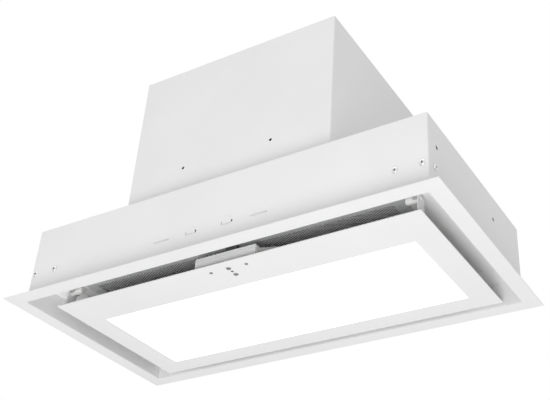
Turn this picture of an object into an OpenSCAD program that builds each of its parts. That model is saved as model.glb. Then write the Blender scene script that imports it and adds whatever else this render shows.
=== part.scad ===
// Built-in range hood with a perimeter-suction light panel.
// X runs to the right, Y to the back, Z up. The origin is the centre of the flange's underside.

/* [Flange and canopy] */
// Width of the flange that seats on the cabinet's underside
flange_w = 560; // [540:2:640]
// Depth of the flange
flange_d = 291; // [288:1:320]
// Thickness of the flange
flange_t = 1; // [0.8:0.1:1.5]
// Width of the flange outside its opening
flange_rim = 18.8; // [14:0.2:20]
// Height of the canopy's top above the flange's underside
canopy_h = 96.6; // [92:0.2:130]
// Thickness of the body sheets
sheet = 0.8; // [0.6:0.1:1]
// Outside radius of the bends in the sheets
bend_r = 1.8; // [1.4:0.1:2.6]
// Width of the folded lips
lip_w = 12; // [9:1:14]
// Length of the corner returns of the front and back sheets
corner_return = 8; // [6:1:10]
// Distance from the front face to the first side fixing hole
fix_inset = 21.8; // [20:0.2:28]
// Distance between the two side fixing holes
fix_pitch = 152; // [120:1:180]
// Height of the side fixing holes
fix_z = 66; // [60:1:75]
// Radius of the side fixing holes
fix_r = 2.6; // [1.8:0.1:3]

/* [Recess] */
// Height of the recess ceiling above the flange's underside
ceiling_z = 31; // [30:0.5:36]
// Height of the ceiling's upturned lips
ceiling_lip_h = 15; // [13:1:18]
// Place of the ceiling's two long tongues, from the middle
tongue_x = 65; // [50:1:90]
// Width of the long tongues
tongue_w = 20; // [14:1:26]
// Place of the ceiling's two bent hooks, from the middle
hook_x = 24; // [16:1:32]
// Width of a bent hook
hook_w = 11.5; // [9:0.5:13]
// Height of a bent hook
hook_h = 8.5; // [7:0.5:10]

/* [Panel] */
// Gap between the panel and the opening at each side
side_gap = 21.6; // [16:0.2:24]
// Gap between the panel and the opening at the front
front_gap = 28.3; // [21.4:0.1:31.4]
// Gap between the panel and the opening at the back
back_gap = 4.5; // [3.8:0.1:6]
// Height of the panel's visible face
panel_z = 2.3; // [1.6:0.1:3]
// Thickness of the panel's sheet
panel_t = 1; // [0.8:0.1:1.6]
// Plain border beside the light window
light_side = 31.2; // [24:0.2:40]
// Plain border in front of the light window
light_front = 53.3; // [52.6:0.1:58.6]
// Plain border behind the light window
light_back = 27.7; // [25:0.1:34]
// Inside height of the light tray above the panel's sheet
tray_h = 9.2; // [8.8:0.1:11]

/* [Controls] */
// Width of the control box
ctrl_w = 81; // [70:1:100]
// Depth of the control box
ctrl_d = 30; // [24:1:31]
// Height of the control box's top above the flange's underside
ctrl_top_z = 19.3; // [18:0.1:22]
// Distance from the panel's front edge to the control box
ctrl_inset = 4.4; // [2.6:0.1:6.6]
// Distance from the panel's front edge to the row of marks
mark_inset = 13.9; // [12.6:0.1:15.6]
// Distance from the middle to a side button
side_button_x = 23.5; // [16:0.5:30]
// Distance from the front centre button to the rear one
plus_minus_pitch = 14.5; // [11:0.5:16]
// Radius of a side button and of the indicator
small_button_r = 1.8; // [1.4:0.1:2.2]
// Radius of a centre button
large_button_r = 2.75; // [2.3:0.05:3]
// Travel of a button
button_travel = 0.8; // [0.5:0.1:1.2]

/* [Filter] */
// Gap between the grease filter and the canopy at each side
filter_side = 47.7; // [46:0.1:70]
// Gap between the grease filter and the canopy at the front and back
filter_end = 34.7; // [32:0.1:50]
// Height of the grease filter
filter_h = 9; // [8:0.5:12]
// Width of the filter frame seen from below
filter_border = 14; // [12:0.5:18]
// Width of the rail seen beside the filter
rail_strip = 14.8; // [10:0.2:16]
// Openings along the filter face
mesh_cols = 24; // [12:1:28]
// Openings across the filter face
mesh_rows = 9; // [5:1:10]
// Travel of the filter's latch
latch_travel = 3.5; // [3:0.1:3.8]

/* [Motor housing] */
// Width of the canopy's top beside the motor housing
housing_side = 122; // [108:1:126]
// Depth of the motor housing
housing_d = 225; // [222:1:232]
// Height of the motor housing
housing_h = 200; // [196:1:260]
// Distance from the middle to a small hole in the front
knock_x = 61.5; // [40:0.5:90]
// Height of the small holes above the canopy
knock_rise = 43.4; // [30:0.2:70]

/* [Outlet] */
// Outside radius of the duct collar
collar_r = 74.5; // [60:0.5:75]
// Wall of the duct collar
collar_t = 1.6; // [1.2:0.1:2.2]
// Height of the duct collar
collar_h = 40; // [36:1:60]
// Distance of the duct collar behind the middle of the hood
collar_y = 25; // [18:1:25]

/* [Blower] */
// Outside radius of the blower wheel
wheel_r = 66; // [58:1:68]
// Depth of the blades
blade_depth = 12; // [9:0.5:13]
// Width of the double wheel
wheel_w = 100; // [90:1:120]
// Blades round each half of the wheel
blade_count = 36; // [24:1:42]
// Wall of the scroll
scroll_t = 2; // [1.6:0.1:2.4]
// Growth of the scroll for each quarter turn
scroll_step = 8; // [5:0.5:8]
// Radius of the motor
motor_r = 38; // [34:0.5:40]
// Length of the motor
motor_l = 44; // [40:0.5:46]
// Radius of the motor shaft
shaft_r = 4; // [3:0.25:5]

/* [Electrical box] */
// Depth of the electrical box
box_d = 76; // [74:1:84]
// Height of the electrical box
box_h = 38; // [36:1:50]
// Wall of the electrical box
box_t = 2; // [1.6:0.1:2.4]
// Inside radius of the mains inlet
inlet_cable_r = 4.6; // [3.5:0.1:5]

/* [Hidden] */

$fn = 48;
// One overrun for all cuts
cut = 1;
// Gap between neighbouring folds and between loose-fitting sheets
fold_gap = 1;
// Clearance round a latch or a seated plate
slot_gap = 0.25;
// Clearance round a tongue in its slot
tongue_slot_gap = 0.6;
// Clearance of a hook's slot below and beside the hook, and the slot's height
hook_slot_drop = 0.9;
hook_slot_side = 1.5;
hook_slot_h = 4;
// Clearance between bodies that pass each other
pass_gap = 0.4;
// Radial clearance of a running pin
run_gap = 0.05;
// Radial clearance of a fixed pin in its own body
fixed_gap = 0.02;

// Body
opening_w = flange_w - 2 * flange_rim;
opening_d = flange_d - 2 * flange_rim;
body_w = opening_w + 2 * sheet;
body_d = opening_d + 2 * sheet;
wall_z1 = canopy_h - sheet;
ceiling_lip_z = ceiling_z + ceiling_lip_h;

// Body screws
screw_head_r = 3.6;
screw_head_t = 1.4;
screw_r = 1.6;
screw_len = 5;
screw_gap = 0.1;
screw_edge = 6.5;
screw_pitch = 30;
front_screw_rise = 5;
side_screw_rise = 7;
side_screw_inset = 15.7;
socket_r_share = 0.45;
socket_depth_share = 0.6;

// Panel
panel_w = opening_w - 2 * side_gap;
panel_y0 = -opening_d / 2 + front_gap;
panel_y1 = opening_d / 2 - back_gap;
panel_top = panel_z + panel_t;
light_x = panel_w / 2 - light_side;
light_y0 = panel_y0 + light_front;
light_y1 = panel_y1 - light_back;
diffuser_rim = 5;
diffuser_rim_t = 1.6;
diffuser_inset = 0.1;
guide_t = 3.6;
tray_t = 0.8;
tray_side = 12;
tray_end = 8.5;
tray_foot = 7;
strip_t = 1.4;
strip_h = 6;
led_w = 3;
led_t = 0.8;
led_h = 2.4;
led_count = 24;
rivet_r = 2.2;
rivet_t = 1;
rivet_inset = 14.3;

// Controls
ctrl_y0 = panel_y0 + ctrl_inset;
ctrl_y1 = ctrl_y0 + ctrl_d;
ctrl_t = 0.8;
ctrl_foot = 6;
mark_y = panel_y0 + mark_inset;
indicator_y = mark_y + plus_minus_pitch / 2;
button_stand = 0.9;
button_flange = 0.7;
button_flange_t = 0.8;
button_stem_gap = 0.3;
board_t = 1.6;
board_margin = 3;
switch_w = 4.4;
board_drop = 4.6;
button_stem = 1.2;
board_z = ctrl_top_z - ctrl_t - board_drop;
switch_z = panel_top + button_flange_t + button_stem + button_travel + button_stem_gap;
lens_flange = 0.8;
lead_r = 2;
lead_sides = 10;
lead_gland_r = 3.4;
lead_gland_l = 9;
lead_inset = 6.4;
lead_run = 42;
lead_pull = 26;

// Panel hinge and catches
hinge_inset = 7.2;
hinge_y = panel_y1 - hinge_inset;
hinge_z = panel_z + hinge_inset;
hinge_side = 43.6;
hinge_x = panel_w / 2 - hinge_side;
ear_r = 4.6;
ear_t = 1.5;
ear_gap = 0.5;
hinge_pin_r = 1.8;
hinge_pin_head_r = 2.8;
hinge_pin_head_t = 1;
leaf_foot = 12;
catch_inset = 5.8;
catch_plate_x = panel_w / 2 - catch_inset;
catch_plate_t = 1.2;
catch_y = mark_y;
catch_drop = 5.5;
catch_z = ceiling_z - catch_drop;
catch_r = 4;
catch_l = 16;
catch_nose = 1.2;
catch_nose_share = 0.8;
catch_rivet_r = 1.5;
catch_plate_d = 14.6;
catch_foot = 11;
clip_w = 5;
clip_t = 0.6;
clip_drop = 3;
clip_lean = 0.9;

// Filter and its latch
filter_w = opening_w - 2 * filter_side;
filter_d = opening_d - 2 * filter_end;
filter_t = 0.8;
filter_gap = 0.5;
filter_inset = 8;
filter_top_lip = 7;
mesh_t = 0.8;
mesh_web = 4.2;
media_t = 6.2;
media_sheet = 0.6;
media_folds = 20;
hole_x = filter_w / 2 + filter_gap + rail_strip;
hole_y = filter_d / 2 + filter_gap;
rail_t = 1;
rail_lap = 9;
rail_lip_h = 7;
latch_w = 30;
latch_d = 14;
latch_t = 1.6;
latch_hold = 2.6;
latch_grip_w = 16;
latch_grip_d = 1.8;
latch_grip_drop = 5.5;
latch_pad = 8;
hook_tab_w = 18;
hook_tab_share = 0.6;

// Motor housing
housing_w = body_w - 2 * housing_side;
housing_z1 = canopy_h + housing_h;
foot_w = 9;
knock_r = 2;
canopy_hole_lip = 14;

// Collar and flaps
collar_flange_w = 10;
collar_flange_r = collar_r + collar_flange_w;
collar_flange_t = 1.6;
groove_r = 1.2;
groove_depth = 0.7;
groove_drop = 7;
collar_seat = 2.2;
collar_seat_z = 9;
spindle_r = 1.6;
spindle_rise = 4.6;
knuckle_r = 2.8;
flap_t = 1.2;
flap_edge_gap = 0.9;
flap_seat_gap = 0.3;
knuckle_shares = [[0.08, 0.34], [0.42, 0.66], [0.7, 0.9]];

// Blower
wheel_inner_r = wheel_r - blade_depth;
wheel_side_gap = 5;
tongue_gap = 6;
scroll_w = wheel_w + 2 * (wheel_side_gap + scroll_t);
scroll_r1 = wheel_r + tongue_gap + scroll_step / 2;
scroll_r2 = scroll_r1 + scroll_step;
scroll_r3 = scroll_r2 + scroll_step;
blower_foot_gap = 10;
blower_y = collar_y - scroll_r3 / 2;
blower_z = canopy_h + blower_foot_gap + scroll_t + scroll_r2 + scroll_step / 2;
gasket_t = 2;
scroll_top = housing_z1 - sheet - gasket_t - blower_z;
scroll_flange = 10;
scroll_flange_t = 2.4;
inlet_step = 1.5;
inlet_r = wheel_inner_r + inlet_step;
flare_r = 6;
lug_w = 12;
lug_h = 9;
lug_t = 4;
blade_t = 0.9;
blade_tilt = 35;
blade_fit_share = 1.12;
ring_t = 2;
disc_t = 1.6;
hub_r = 12;
hub_l = 18;

// Motor
mount_gap = 7;
mount_t = 3;
mount_hub_r = 24;
mount_arm_w = 12;
mount_post_r = 4;
mount_pad_r = 7;
mount_post_at = inlet_r + flare_r + mount_post_r + fold_gap;
motor_t = 1.5;
motor_x0 = -scroll_w / 2 - mount_gap;
motor_x1 = motor_x0 + motor_l;
bearing_r = 8;
bearing_l = 7;
boss_t = 2;
stator_l = 20;
stator_depth = 13;
stator_slots = 12;
slot_w = 3.4;
slot_depth = 8;
coil_l = 5;
air_gap = 0.5;
stator_x0 = motor_x0 + motor_t + bearing_l + coil_l;

// Electrical box
box_inset_x = 16;
box_inset_y = 14;
box_housing_gap = 13;
box_w = housing_side - foot_w - box_inset_x - box_housing_gap;
box_x0 = -body_w / 2 + box_inset_x;
box_y0 = opening_d / 2 - box_d - box_inset_y;
box_lid_t = 2;
box_lid_lip = 3;
gland_r = 8;
gland_l = 12;
gland_inside = 6;
gland_nut_t = 4;
gland_rise = 17;
boss_r = 3;
boss_h = 4;
wire_room = 16;
pcb_margin = 4;
cap_r = 12;
pcb_w = box_w - 2 * box_t - 2 * cap_r - wire_room;
cap_l = 50;
cap_stud_r = 3;
box_hole_x = box_x0 + box_w - box_t - cap_r;
terminal_ways = 5;
terminal_h = 11;
relay_h = 14;
transformer_h = 20;

// A box between two opposite corners
module slab(low, high) {
    translate(low) cube(high - low);
}

// The children and their mirror image across the middle plane
module both_sides() {
    children();
    mirror([1, 0, 0]) children();
}

// The children and their mirror image from front to back
module front_and_back() {
    children();
    mirror([0, 1, 0]) children();
}

// A flat rectangle with round corners, centred
module round_rect(w, d, r) {
    square([w - 2 * r, d], center = true);
    square([w, d - 2 * r], center = true);
    for (sx = [-1, 1], sy = [-1, 1])
        translate([sx * (w / 2 - r), sy * (d / 2 - r)]) circle(r);
}

// A round rod along X
module rod_x(r, x0, x1) {
    translate([x0, 0, 0]) rotate([0, 90, 0]) cylinder(r = r, h = x1 - x0);
}

// A flat outline in Y and Z, extruded along X
module across(x0, x1) {
    translate([x0, 0, 0]) rotate([90, 0, 90]) linear_extrude(x1 - x0) children();
}

// A pan-head screw whose head seats on the plane z = 0, with its shank below
module pan_screw(head_r, head_t, shank_r, length) {
    difference() {
        cylinder(r = head_r, h = head_t);
        translate([0, 0, head_t * (1 - socket_depth_share)])
            cylinder(r = head_r * socket_r_share, h = head_t, $fn = 6);
    }
    translate([0, 0, -length]) cylinder(r = shank_r, h = length);
}

// Places of the screws in the canopy, as [place, turn about Z] with the head facing -Y before the turn
front_screws = [
    for (side = [-1, 1], step = [0, 1])
        [side * (body_w / 2 - screw_edge - step * screw_pitch), body_d / 2, ceiling_z + front_screw_rise]
];
side_screw_y = -body_d / 2 + side_screw_inset;

module at_body_screws() {
    front_and_back() for (p = front_screws) translate([p[0], -p[1], p[2]]) rotate([90, 0, 0]) children();
    both_sides() translate([body_w / 2, side_screw_y, ceiling_z + side_screw_rise])
        rotate([0, 90, 0]) children();
}

module body_screw_holes(r) {
    at_body_screws() translate([0, 0, -screw_len]) cylinder(r = r, h = screw_len + cut);
}

// Canopy

module flange_frame() {
    color("whitesmoke") linear_extrude(flange_t) difference() {
        square([flange_w, flange_d], center = true);
        round_rect(body_w, body_d, bend_r);
    }
}

module wall_band() {
    difference() {
        round_rect(body_w, body_d, bend_r);
        round_rect(opening_w, opening_d, bend_r - sheet);
    }
}

// Front sheet with its corner returns and top lip, drawn at -Y
module end_sheet() {
    linear_extrude(wall_z1) intersection() {
        wall_band();
        translate([0, -body_d / 2 + corner_return / 2])
            square([body_w + 2 * cut, corner_return], center = true);
    }
    slab([-opening_w / 2 + fold_gap, -opening_d / 2 - sheet / 2, wall_z1 - sheet],
         [opening_w / 2 - fold_gap, -opening_d / 2 + lip_w, wall_z1]);
}

module tongue_slots() {
    tongue_half = tongue_w / 2 + tongue_slot_gap;
    hook_half = hook_w / 2 + hook_slot_side;
    y1 = -opening_d / 2 + sheet / 2;
    both_sides() {
        slab([tongue_x - tongue_half, -body_d / 2 - cut, ceiling_z - tongue_slot_gap],
             [tongue_x + tongue_half, y1, ceiling_z + sheet + tongue_slot_gap]);
        slab([hook_x - hook_half, -body_d / 2 - cut, ceiling_z - hook_slot_drop],
             [hook_x + hook_half, y1, ceiling_z - hook_slot_drop + hook_slot_h]);
    }
}

// Windows left in the ceiling's front lip where its tongues and hooks were cut out
module tongue_windows() {
    tongue_half = tongue_w / 2 + tongue_slot_gap;
    hook_half = hook_w / 2 + hook_slot_side;
    z = ceiling_z + sheet;
    y0 = -opening_d / 2 - sheet / 2;
    y1 = -opening_d / 2 + sheet + cut;
    both_sides() {
        slab([tongue_x - tongue_half, y0, z], [tongue_x + tongue_half, y1, z + 2 * sheet]);
        slab([hook_x - hook_half, y0, z], [hook_x + hook_half, y1, z + hook_h]);
    }
}

module front_wall() {
    color("whitesmoke") difference() {
        end_sheet();
        body_screw_holes(screw_r + screw_gap);
        housing_screw_holes(screw_r + fixed_gap);
        tongue_slots();
    }
}

module back_wall() {
    color("whitesmoke") difference() {
        mirror([0, 1, 0]) end_sheet();
        body_screw_holes(screw_r + screw_gap);
        housing_screw_holes(screw_r + fixed_gap);
    }
}

// Side sheet with its top lip and the straps behind its two corner seams, drawn at +X
module side_sheet() {
    strap_x0 = opening_w / 2 - sheet;
    strap_y = opening_d / 2 - bend_r;
    side_y = body_d / 2 - corner_return;
    difference() {
        union() {
            slab([opening_w / 2, -side_y, 0], [body_w / 2, side_y, wall_z1]);
            slab([opening_w / 2 - lip_w, -opening_d / 2 + lip_w + fold_gap, wall_z1 - sheet],
                 [opening_w / 2 + sheet / 2, opening_d / 2 - lip_w - fold_gap, wall_z1]);
            front_and_back() slab([strap_x0, side_y - corner_return, ceiling_lip_z + fold_gap],
                                  [opening_w / 2, strap_y, wall_z1 - sheet - fold_gap]);
        }
        body_screw_holes(screw_r + screw_gap);
        for (step = [0, 1])
            translate([opening_w / 2 - sheet - cut, -body_d / 2 + fix_inset + step * fix_pitch, fix_z])
                rotate([0, 90, 0]) cylinder(r = fix_r, h = 2 * sheet + 2 * cut);
    }
}

module left_wall() {
    color("gainsboro") mirror([1, 0, 0]) side_sheet();
}

module right_wall() {
    color("gainsboro") side_sheet();
}

module canopy_top() {
    color("whitesmoke") difference() {
        translate([0, 0, canopy_h - sheet]) linear_extrude(sheet) difference() {
            round_rect(body_w, body_d, bend_r);
            square([housing_w - 2 * canopy_hole_lip, housing_d - 2 * canopy_hole_lip], center = true);
            translate([box_hole_x, box_y0 + box_d / 2]) circle(inlet_cable_r);
        }
        housing_screw_holes(screw_r + fixed_gap);
    }
}

module recess_ceiling() {
    lip_in = opening_d / 2 - fold_gap;
    color("gainsboro") difference() {
        union() {
            slab([-opening_w / 2, -lip_in, ceiling_z], [opening_w / 2, lip_in, ceiling_z + sheet]);
            slab([-opening_w / 2 + fold_gap, -opening_d / 2, ceiling_z],
                 [opening_w / 2 - fold_gap, opening_d / 2, ceiling_z + sheet]);
            front_and_back() slab([-opening_w / 2 + 2 * fold_gap, -opening_d / 2, ceiling_z],
                                  [opening_w / 2 - 2 * fold_gap, -opening_d / 2 + sheet, ceiling_lip_z]);
            both_sides() {
                slab([opening_w / 2 - sheet, -opening_d / 2 + 2 * fold_gap, ceiling_z],
                     [opening_w / 2, opening_d / 2 - 2 * fold_gap, ceiling_lip_z]);
                slab([tongue_x - tongue_w / 2, -body_d / 2, ceiling_z],
                     [tongue_x + tongue_w / 2, -opening_d / 2 + sheet, ceiling_z + sheet]);
                slab([hook_x - hook_w / 2, -body_d / 2 - sheet, ceiling_z],
                     [hook_x + hook_w / 2, -opening_d / 2 + sheet, ceiling_z + sheet]);
                translate([hook_x, -body_d / 2, ceiling_z]) rotate([90, 0, 0]) linear_extrude(sheet) {
                    translate([-hook_w / 2, 0]) square([hook_w, hook_h - hook_w / 2]);
                    intersection() {
                        translate([0, hook_h - hook_w / 2]) circle(hook_w / 2);
                        translate([-hook_w / 2, 0]) square([hook_w, hook_h]);
                    }
                }
            }
        }
        tongue_windows();
        slab([-hole_x, -hole_y, ceiling_z - cut], [hole_x, hole_y, ceiling_z + sheet + cut]);
        body_screw_holes(screw_r + fixed_gap);
    }
}

module filter_rails() {
    z = ceiling_z + sheet;
    x = filter_w / 2 + filter_gap;
    color("silver") both_sides() {
        slab([x, -hole_y, z], [hole_x + rail_lap, hole_y, z + rail_t]);
        slab([x, -hole_y, z], [x + rail_t, hole_y, z + rail_lip_h]);
    }
}

// Spring clips that grip the panel's two catch pins from above
module catch_clips() {
    x0 = catch_plate_x - catch_plate_t - clip_w - fold_gap;
    in_gap = catch_r + pass_gap;
    color("darkgray") both_sides() difference() {
        slab([x0, catch_y - in_gap - clip_lean - clip_t, catch_z - clip_drop],
             [x0 + clip_w, catch_y + in_gap + clip_t, ceiling_z]);
        slab([x0 - cut, catch_y - in_gap - clip_lean, catch_z - clip_drop - cut],
             [x0 + clip_w + cut, catch_y + in_gap, ceiling_z - clip_t]);
    }
}

// Fixed ears that carry the panel's hinge pins, with feet under the ceiling
module hinge_brackets() {
    foot_t = ear_t;
    foot_d = 2 * ear_r;
    color("silver") both_sides() difference() {
        union() {
            slab([hinge_x, hinge_y - ear_r, hinge_z], [hinge_x + ear_t, hinge_y + ear_r, ceiling_z]);
            translate([0, hinge_y, hinge_z]) rod_x(ear_r, hinge_x, hinge_x + ear_t);
            slab([hinge_x, hinge_y - foot_d, ceiling_z - foot_t],
                 [hinge_x + leaf_foot + ear_t, hinge_y + ear_r, ceiling_z]);
        }
        translate([0, hinge_y, hinge_z]) rod_x(hinge_pin_r + run_gap, hinge_x - cut, hinge_x + ear_t + cut);
    }
}

module body_screws() {
    color("silver") at_body_screws() pan_screw(screw_head_r, screw_head_t, screw_r, screw_len);
}

// Motor housing

module housing_band() {
    difference() {
        round_rect(housing_w, housing_d, bend_r);
        round_rect(housing_w - 2 * sheet, housing_d - 2 * sheet, bend_r - sheet);
    }
}

// Feet are screwed to the canopy's top at these places, given for the front and right sides
foot_screw_share = 0.36;
module at_foot_screws() {
    z = canopy_h + sheet;
    both_sides() {
        front_and_back() translate([housing_w * foot_screw_share, -housing_d / 2 - foot_w / 2, z]) children();
        front_and_back() translate([housing_w / 2 + foot_w / 2, -housing_d * foot_screw_share, z]) children();
    }
}

module housing_screw_holes(r) {
    at_foot_screws() translate([0, 0, -screw_len]) cylinder(r = r, h = screw_len + cut);
}

module housing_shell() {
    keep_d = housing_d - corner_return;
    color("whitesmoke") difference() {
        union() {
            translate([0, 0, canopy_h]) linear_extrude(housing_h - sheet) intersection() {
                housing_band();
                translate([0, -corner_return / 2 - cut / 2])
                    square([housing_w + 2 * cut, keep_d + cut], center = true);
            }
            slab([-housing_w / 2 + bend_r, -housing_d / 2 - foot_w, canopy_h],
                 [housing_w / 2 - bend_r, -housing_d / 2 + sheet, canopy_h + sheet]);
            both_sides() slab([housing_w / 2 - sheet, -housing_d / 2 + bend_r, canopy_h],
                              [housing_w / 2 + foot_w, housing_d / 2 - corner_return, canopy_h + sheet]);
        }
        housing_screw_holes(screw_r + screw_gap);
        both_sides() translate([knock_x, -housing_d / 2 - cut, canopy_h + knock_rise]) rotate([-90, 0, 0])
            cylinder(r = knock_r, h = sheet + 2 * cut);
    }
}

module housing_back() {
    color("whitesmoke") difference() {
        union() {
            translate([0, 0, canopy_h]) linear_extrude(housing_h - sheet) intersection() {
                housing_band();
                translate([0, housing_d / 2 - corner_return / 2])
                    square([housing_w + 2 * cut, corner_return], center = true);
            }
            slab([-housing_w / 2 + bend_r, housing_d / 2 - sheet, canopy_h],
                 [housing_w / 2 - bend_r, housing_d / 2 + foot_w, canopy_h + sheet]);
            both_sides()
                slab([housing_w / 2 - 2 * sheet, housing_d / 2 - 2 * corner_return, canopy_h + fold_gap],
                     [housing_w / 2 - sheet, housing_d / 2 - bend_r, housing_z1 - sheet - lip_w - fold_gap]);
        }
        housing_screw_holes(screw_r + screw_gap);
    }
}

module housing_top() {
    z0 = housing_z1 - sheet;
    in_x = housing_w / 2 - sheet;
    in_y = housing_d / 2 - sheet;
    color("whitesmoke") difference() {
        union() {
            translate([0, 0, z0]) linear_extrude(sheet) round_rect(housing_w, housing_d, bend_r);
            both_sides() slab([in_x - sheet, -in_y + bend_r, z0 - lip_w],
                              [in_x, in_y - bend_r, z0 + sheet / 2]);
            front_and_back() slab([-in_x + bend_r, -in_y, z0 - lip_w],
                                  [in_x - bend_r, -in_y + sheet, z0 + sheet / 2]);
        }
        translate([0, collar_y, z0 - cut]) cylinder(r = collar_r - collar_t, h = sheet + 2 * cut);
        at_collar_screws() cylinder(r = screw_r + fixed_gap, h = 2 * screw_len, center = true);
        for (p = flange_screw_places) translate([p[0], blower_y + p[1], z0 - cut])
            cylinder(r = screw_r + fixed_gap, h = sheet + 2 * cut);
    }
}

// Places of the screws in the collar's flange, between its edge and the tube
module at_collar_screws() {
    at = (collar_r + collar_flange_r) / 2;
    for (turn = [0 : 90 : 270]) translate([0, collar_y, housing_z1]) rotate(turn)
        translate([at, 0]) children();
}

module housing_screws() {
    color("silver") {
        at_foot_screws() pan_screw(screw_head_r, screw_head_t, screw_r, screw_len);
        at_collar_screws() translate([0, 0, collar_flange_t])
            pan_screw(screw_head_r, screw_head_t, screw_r, screw_len);
    }
}

// Outlet collar and its two non-return flaps

spindle_z = housing_z1 + collar_seat_z + spindle_rise;
flap_z = spindle_z - knuckle_r;
flap_r = collar_r - collar_t - flap_edge_gap;

module duct_collar() {
    seat_top = flap_z - flap_seat_gap - housing_z1;
    color("dimgray") translate([0, collar_y, housing_z1]) difference() {
        union() {
            cylinder(r = collar_flange_r, h = collar_flange_t);
            cylinder(r = collar_r, h = collar_h);
        }
        translate([0, 0, collar_h - groove_drop]) rotate_extrude()
            translate([collar_r + groove_r - groove_depth, 0]) circle(groove_r);
        translate([0, 0, -cut]) cylinder(r = collar_r - collar_t - collar_seat, h = collar_h + 2 * cut);
        translate([0, 0, seat_top]) cylinder(r = collar_r - collar_t, h = collar_h);
        translate([0, 0, spindle_z - housing_z1])
            rod_x(spindle_r + fixed_gap, -collar_r - cut, collar_r + cut);
        translate([0, -collar_y, -housing_z1]) at_collar_screws()
            cylinder(r = screw_r + screw_gap, h = 2 * screw_len, center = true);
    }
}

module flap_spindle() {
    color("silver") translate([0, collar_y, spindle_z]) rod_x(spindle_r, -collar_r, collar_r);
}

// Half-disc flap drawn on the -Y side; side 1 or -1 says which stretches of the spindle its knuckles take
module flap(side) {
    color("lightgray") difference() {
        union() {
            intersection() {
                translate([0, collar_y, flap_z]) cylinder(r = flap_r, h = flap_t);
                slab([-flap_r, collar_y - flap_r, flap_z],
                     [flap_r, collar_y - knuckle_r - pass_gap, flap_z + flap_t]);
            }
            for (k = [0 : len(knuckle_shares) - 1]) {
                s = (k % 2 == 0 ? 1 : -1) * side;
                x0 = min(s * knuckle_shares[k][0], s * knuckle_shares[k][1]) * flap_r;
                x1 = max(s * knuckle_shares[k][0], s * knuckle_shares[k][1]) * flap_r;
                translate([0, collar_y, spindle_z]) rod_x(knuckle_r, x0, x1);
                slab([x0, collar_y - 2 * knuckle_r, flap_z], [x1, collar_y, flap_z + flap_t]);
            }
        }
        translate([0, collar_y, spindle_z]) rod_x(spindle_r + run_gap, -collar_r, collar_r);
    }
}

module flap_front() {
    flap(1);
}

module flap_back() {
    translate([0, 2 * collar_y, 0]) mirror([0, 1, 0]) flap(-1);
}

// Blower

module at_blower() {
    translate([0, blower_y, blower_z]) children();
}

// Scroll outline in Y and Z about the wheel's axis: three quarter arcs and the outlet, all grown by g
module scroll_outline(g, top) {
    s = scroll_step / 2;
    big = scroll_r3 + 2 * g + scroll_step;
    intersection() {
        translate([-s, -s]) circle(scroll_r1 + g);
        translate([-s - big, -s]) square([big, big]);
    }
    intersection() {
        translate([s, -s]) circle(scroll_r2 + g);
        translate([s - big, -s - big]) square([big, big]);
    }
    intersection() {
        translate([s, s]) circle(scroll_r3 + g);
        translate([s, s - big]) square([big, big]);
    }
    translate([-s, -s]) square([2 * s, 2 * s]);
    translate([-s - g, s]) square([scroll_r3 + 2 * s + 2 * g, top - s]);
}

// Screw lugs of the scroll, as places in Y and Z about the wheel's axis; the upper two lie between the first
// quarter arc and the outlet flange
function lug_places() = let (
    s = scroll_step / 2,
    d = scroll_t + screw_head_r + pass_gap,
    up = (scroll_r1 + scroll_t - s + scroll_top - scroll_flange_t) / 2
) [
    [s - (scroll_r2 + d) * cos(45), -s - (scroll_r2 + d) * sin(45), 45],
    [s + (scroll_r3 + d) * cos(45), s - (scroll_r3 + d) * sin(45), -45],
    [-s - d, up, 90],
    [s + scroll_r3 + d, up, 90]
];

// Screws up through the outlet flange and the gasket, as places in X and Y about the wheel's axis
flange_mid = (scroll_step + scroll_flange) / 2;
flange_screw_places = [
    for (side = [-1, 1], y = [-flange_mid, scroll_r3 + flange_mid]) [side * (scroll_w + scroll_flange) / 2, y]
];

// Right half of the scroll, drawn at +X
module scroll_half() {
    half = scroll_w / 2;
    difference() {
        union() {
            across(0, half) scroll_outline(scroll_t, scroll_top);
            for (p = lug_places()) translate([0, p[0], p[1]]) rotate([p[2], 0, 0])
                slab([0, -lug_w / 2, -lug_h / 2], [lug_t, lug_w / 2, lug_h / 2]);
            slab([0, -scroll_step / 2 - scroll_flange, scroll_top - scroll_flange_t],
                 [half + scroll_flange, scroll_step / 2 + scroll_r3 + scroll_flange, scroll_top]);
            rotate([0, 90, 0]) translate([0, 0, half]) rotate_extrude() translate([inlet_r + flare_r, 0])
                intersection() {
                    difference() {
                        circle(flare_r);
                        circle(flare_r - scroll_t);
                    }
                    translate([-flare_r, 0]) square([flare_r, flare_r]);
                }
        }
        across(-cut, half - scroll_t) scroll_outline(0, scroll_top + cut);
        rod_x(inlet_r, 0, half + flare_r / 2);
        for (p = lug_places()) translate([0, p[0], p[1]]) rod_x(screw_r + screw_gap, -cut, lug_t + cut);
        for (p = mount_places()) translate([0, p[0], p[1]]) rod_x(screw_r + screw_gap, 0, half + cut);
        for (p = flange_screw_places) translate([p[0], p[1], scroll_top - scroll_flange_t - cut])
            cylinder(r = screw_r + screw_gap, h = scroll_flange_t + 2 * cut);
    }
}

// Posts of the motor mount round the inlet, as places in Y and Z
function mount_places() = [
    for (turn = [45 : 90 : 315]) [mount_post_at * cos(turn), mount_post_at * sin(turn)]
];

module scroll_right() {
    color("dimgray") at_blower() scroll_half();
}

module scroll_left() {
    color("dimgray") at_blower() mirror([1, 0, 0]) scroll_half();
}

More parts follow.
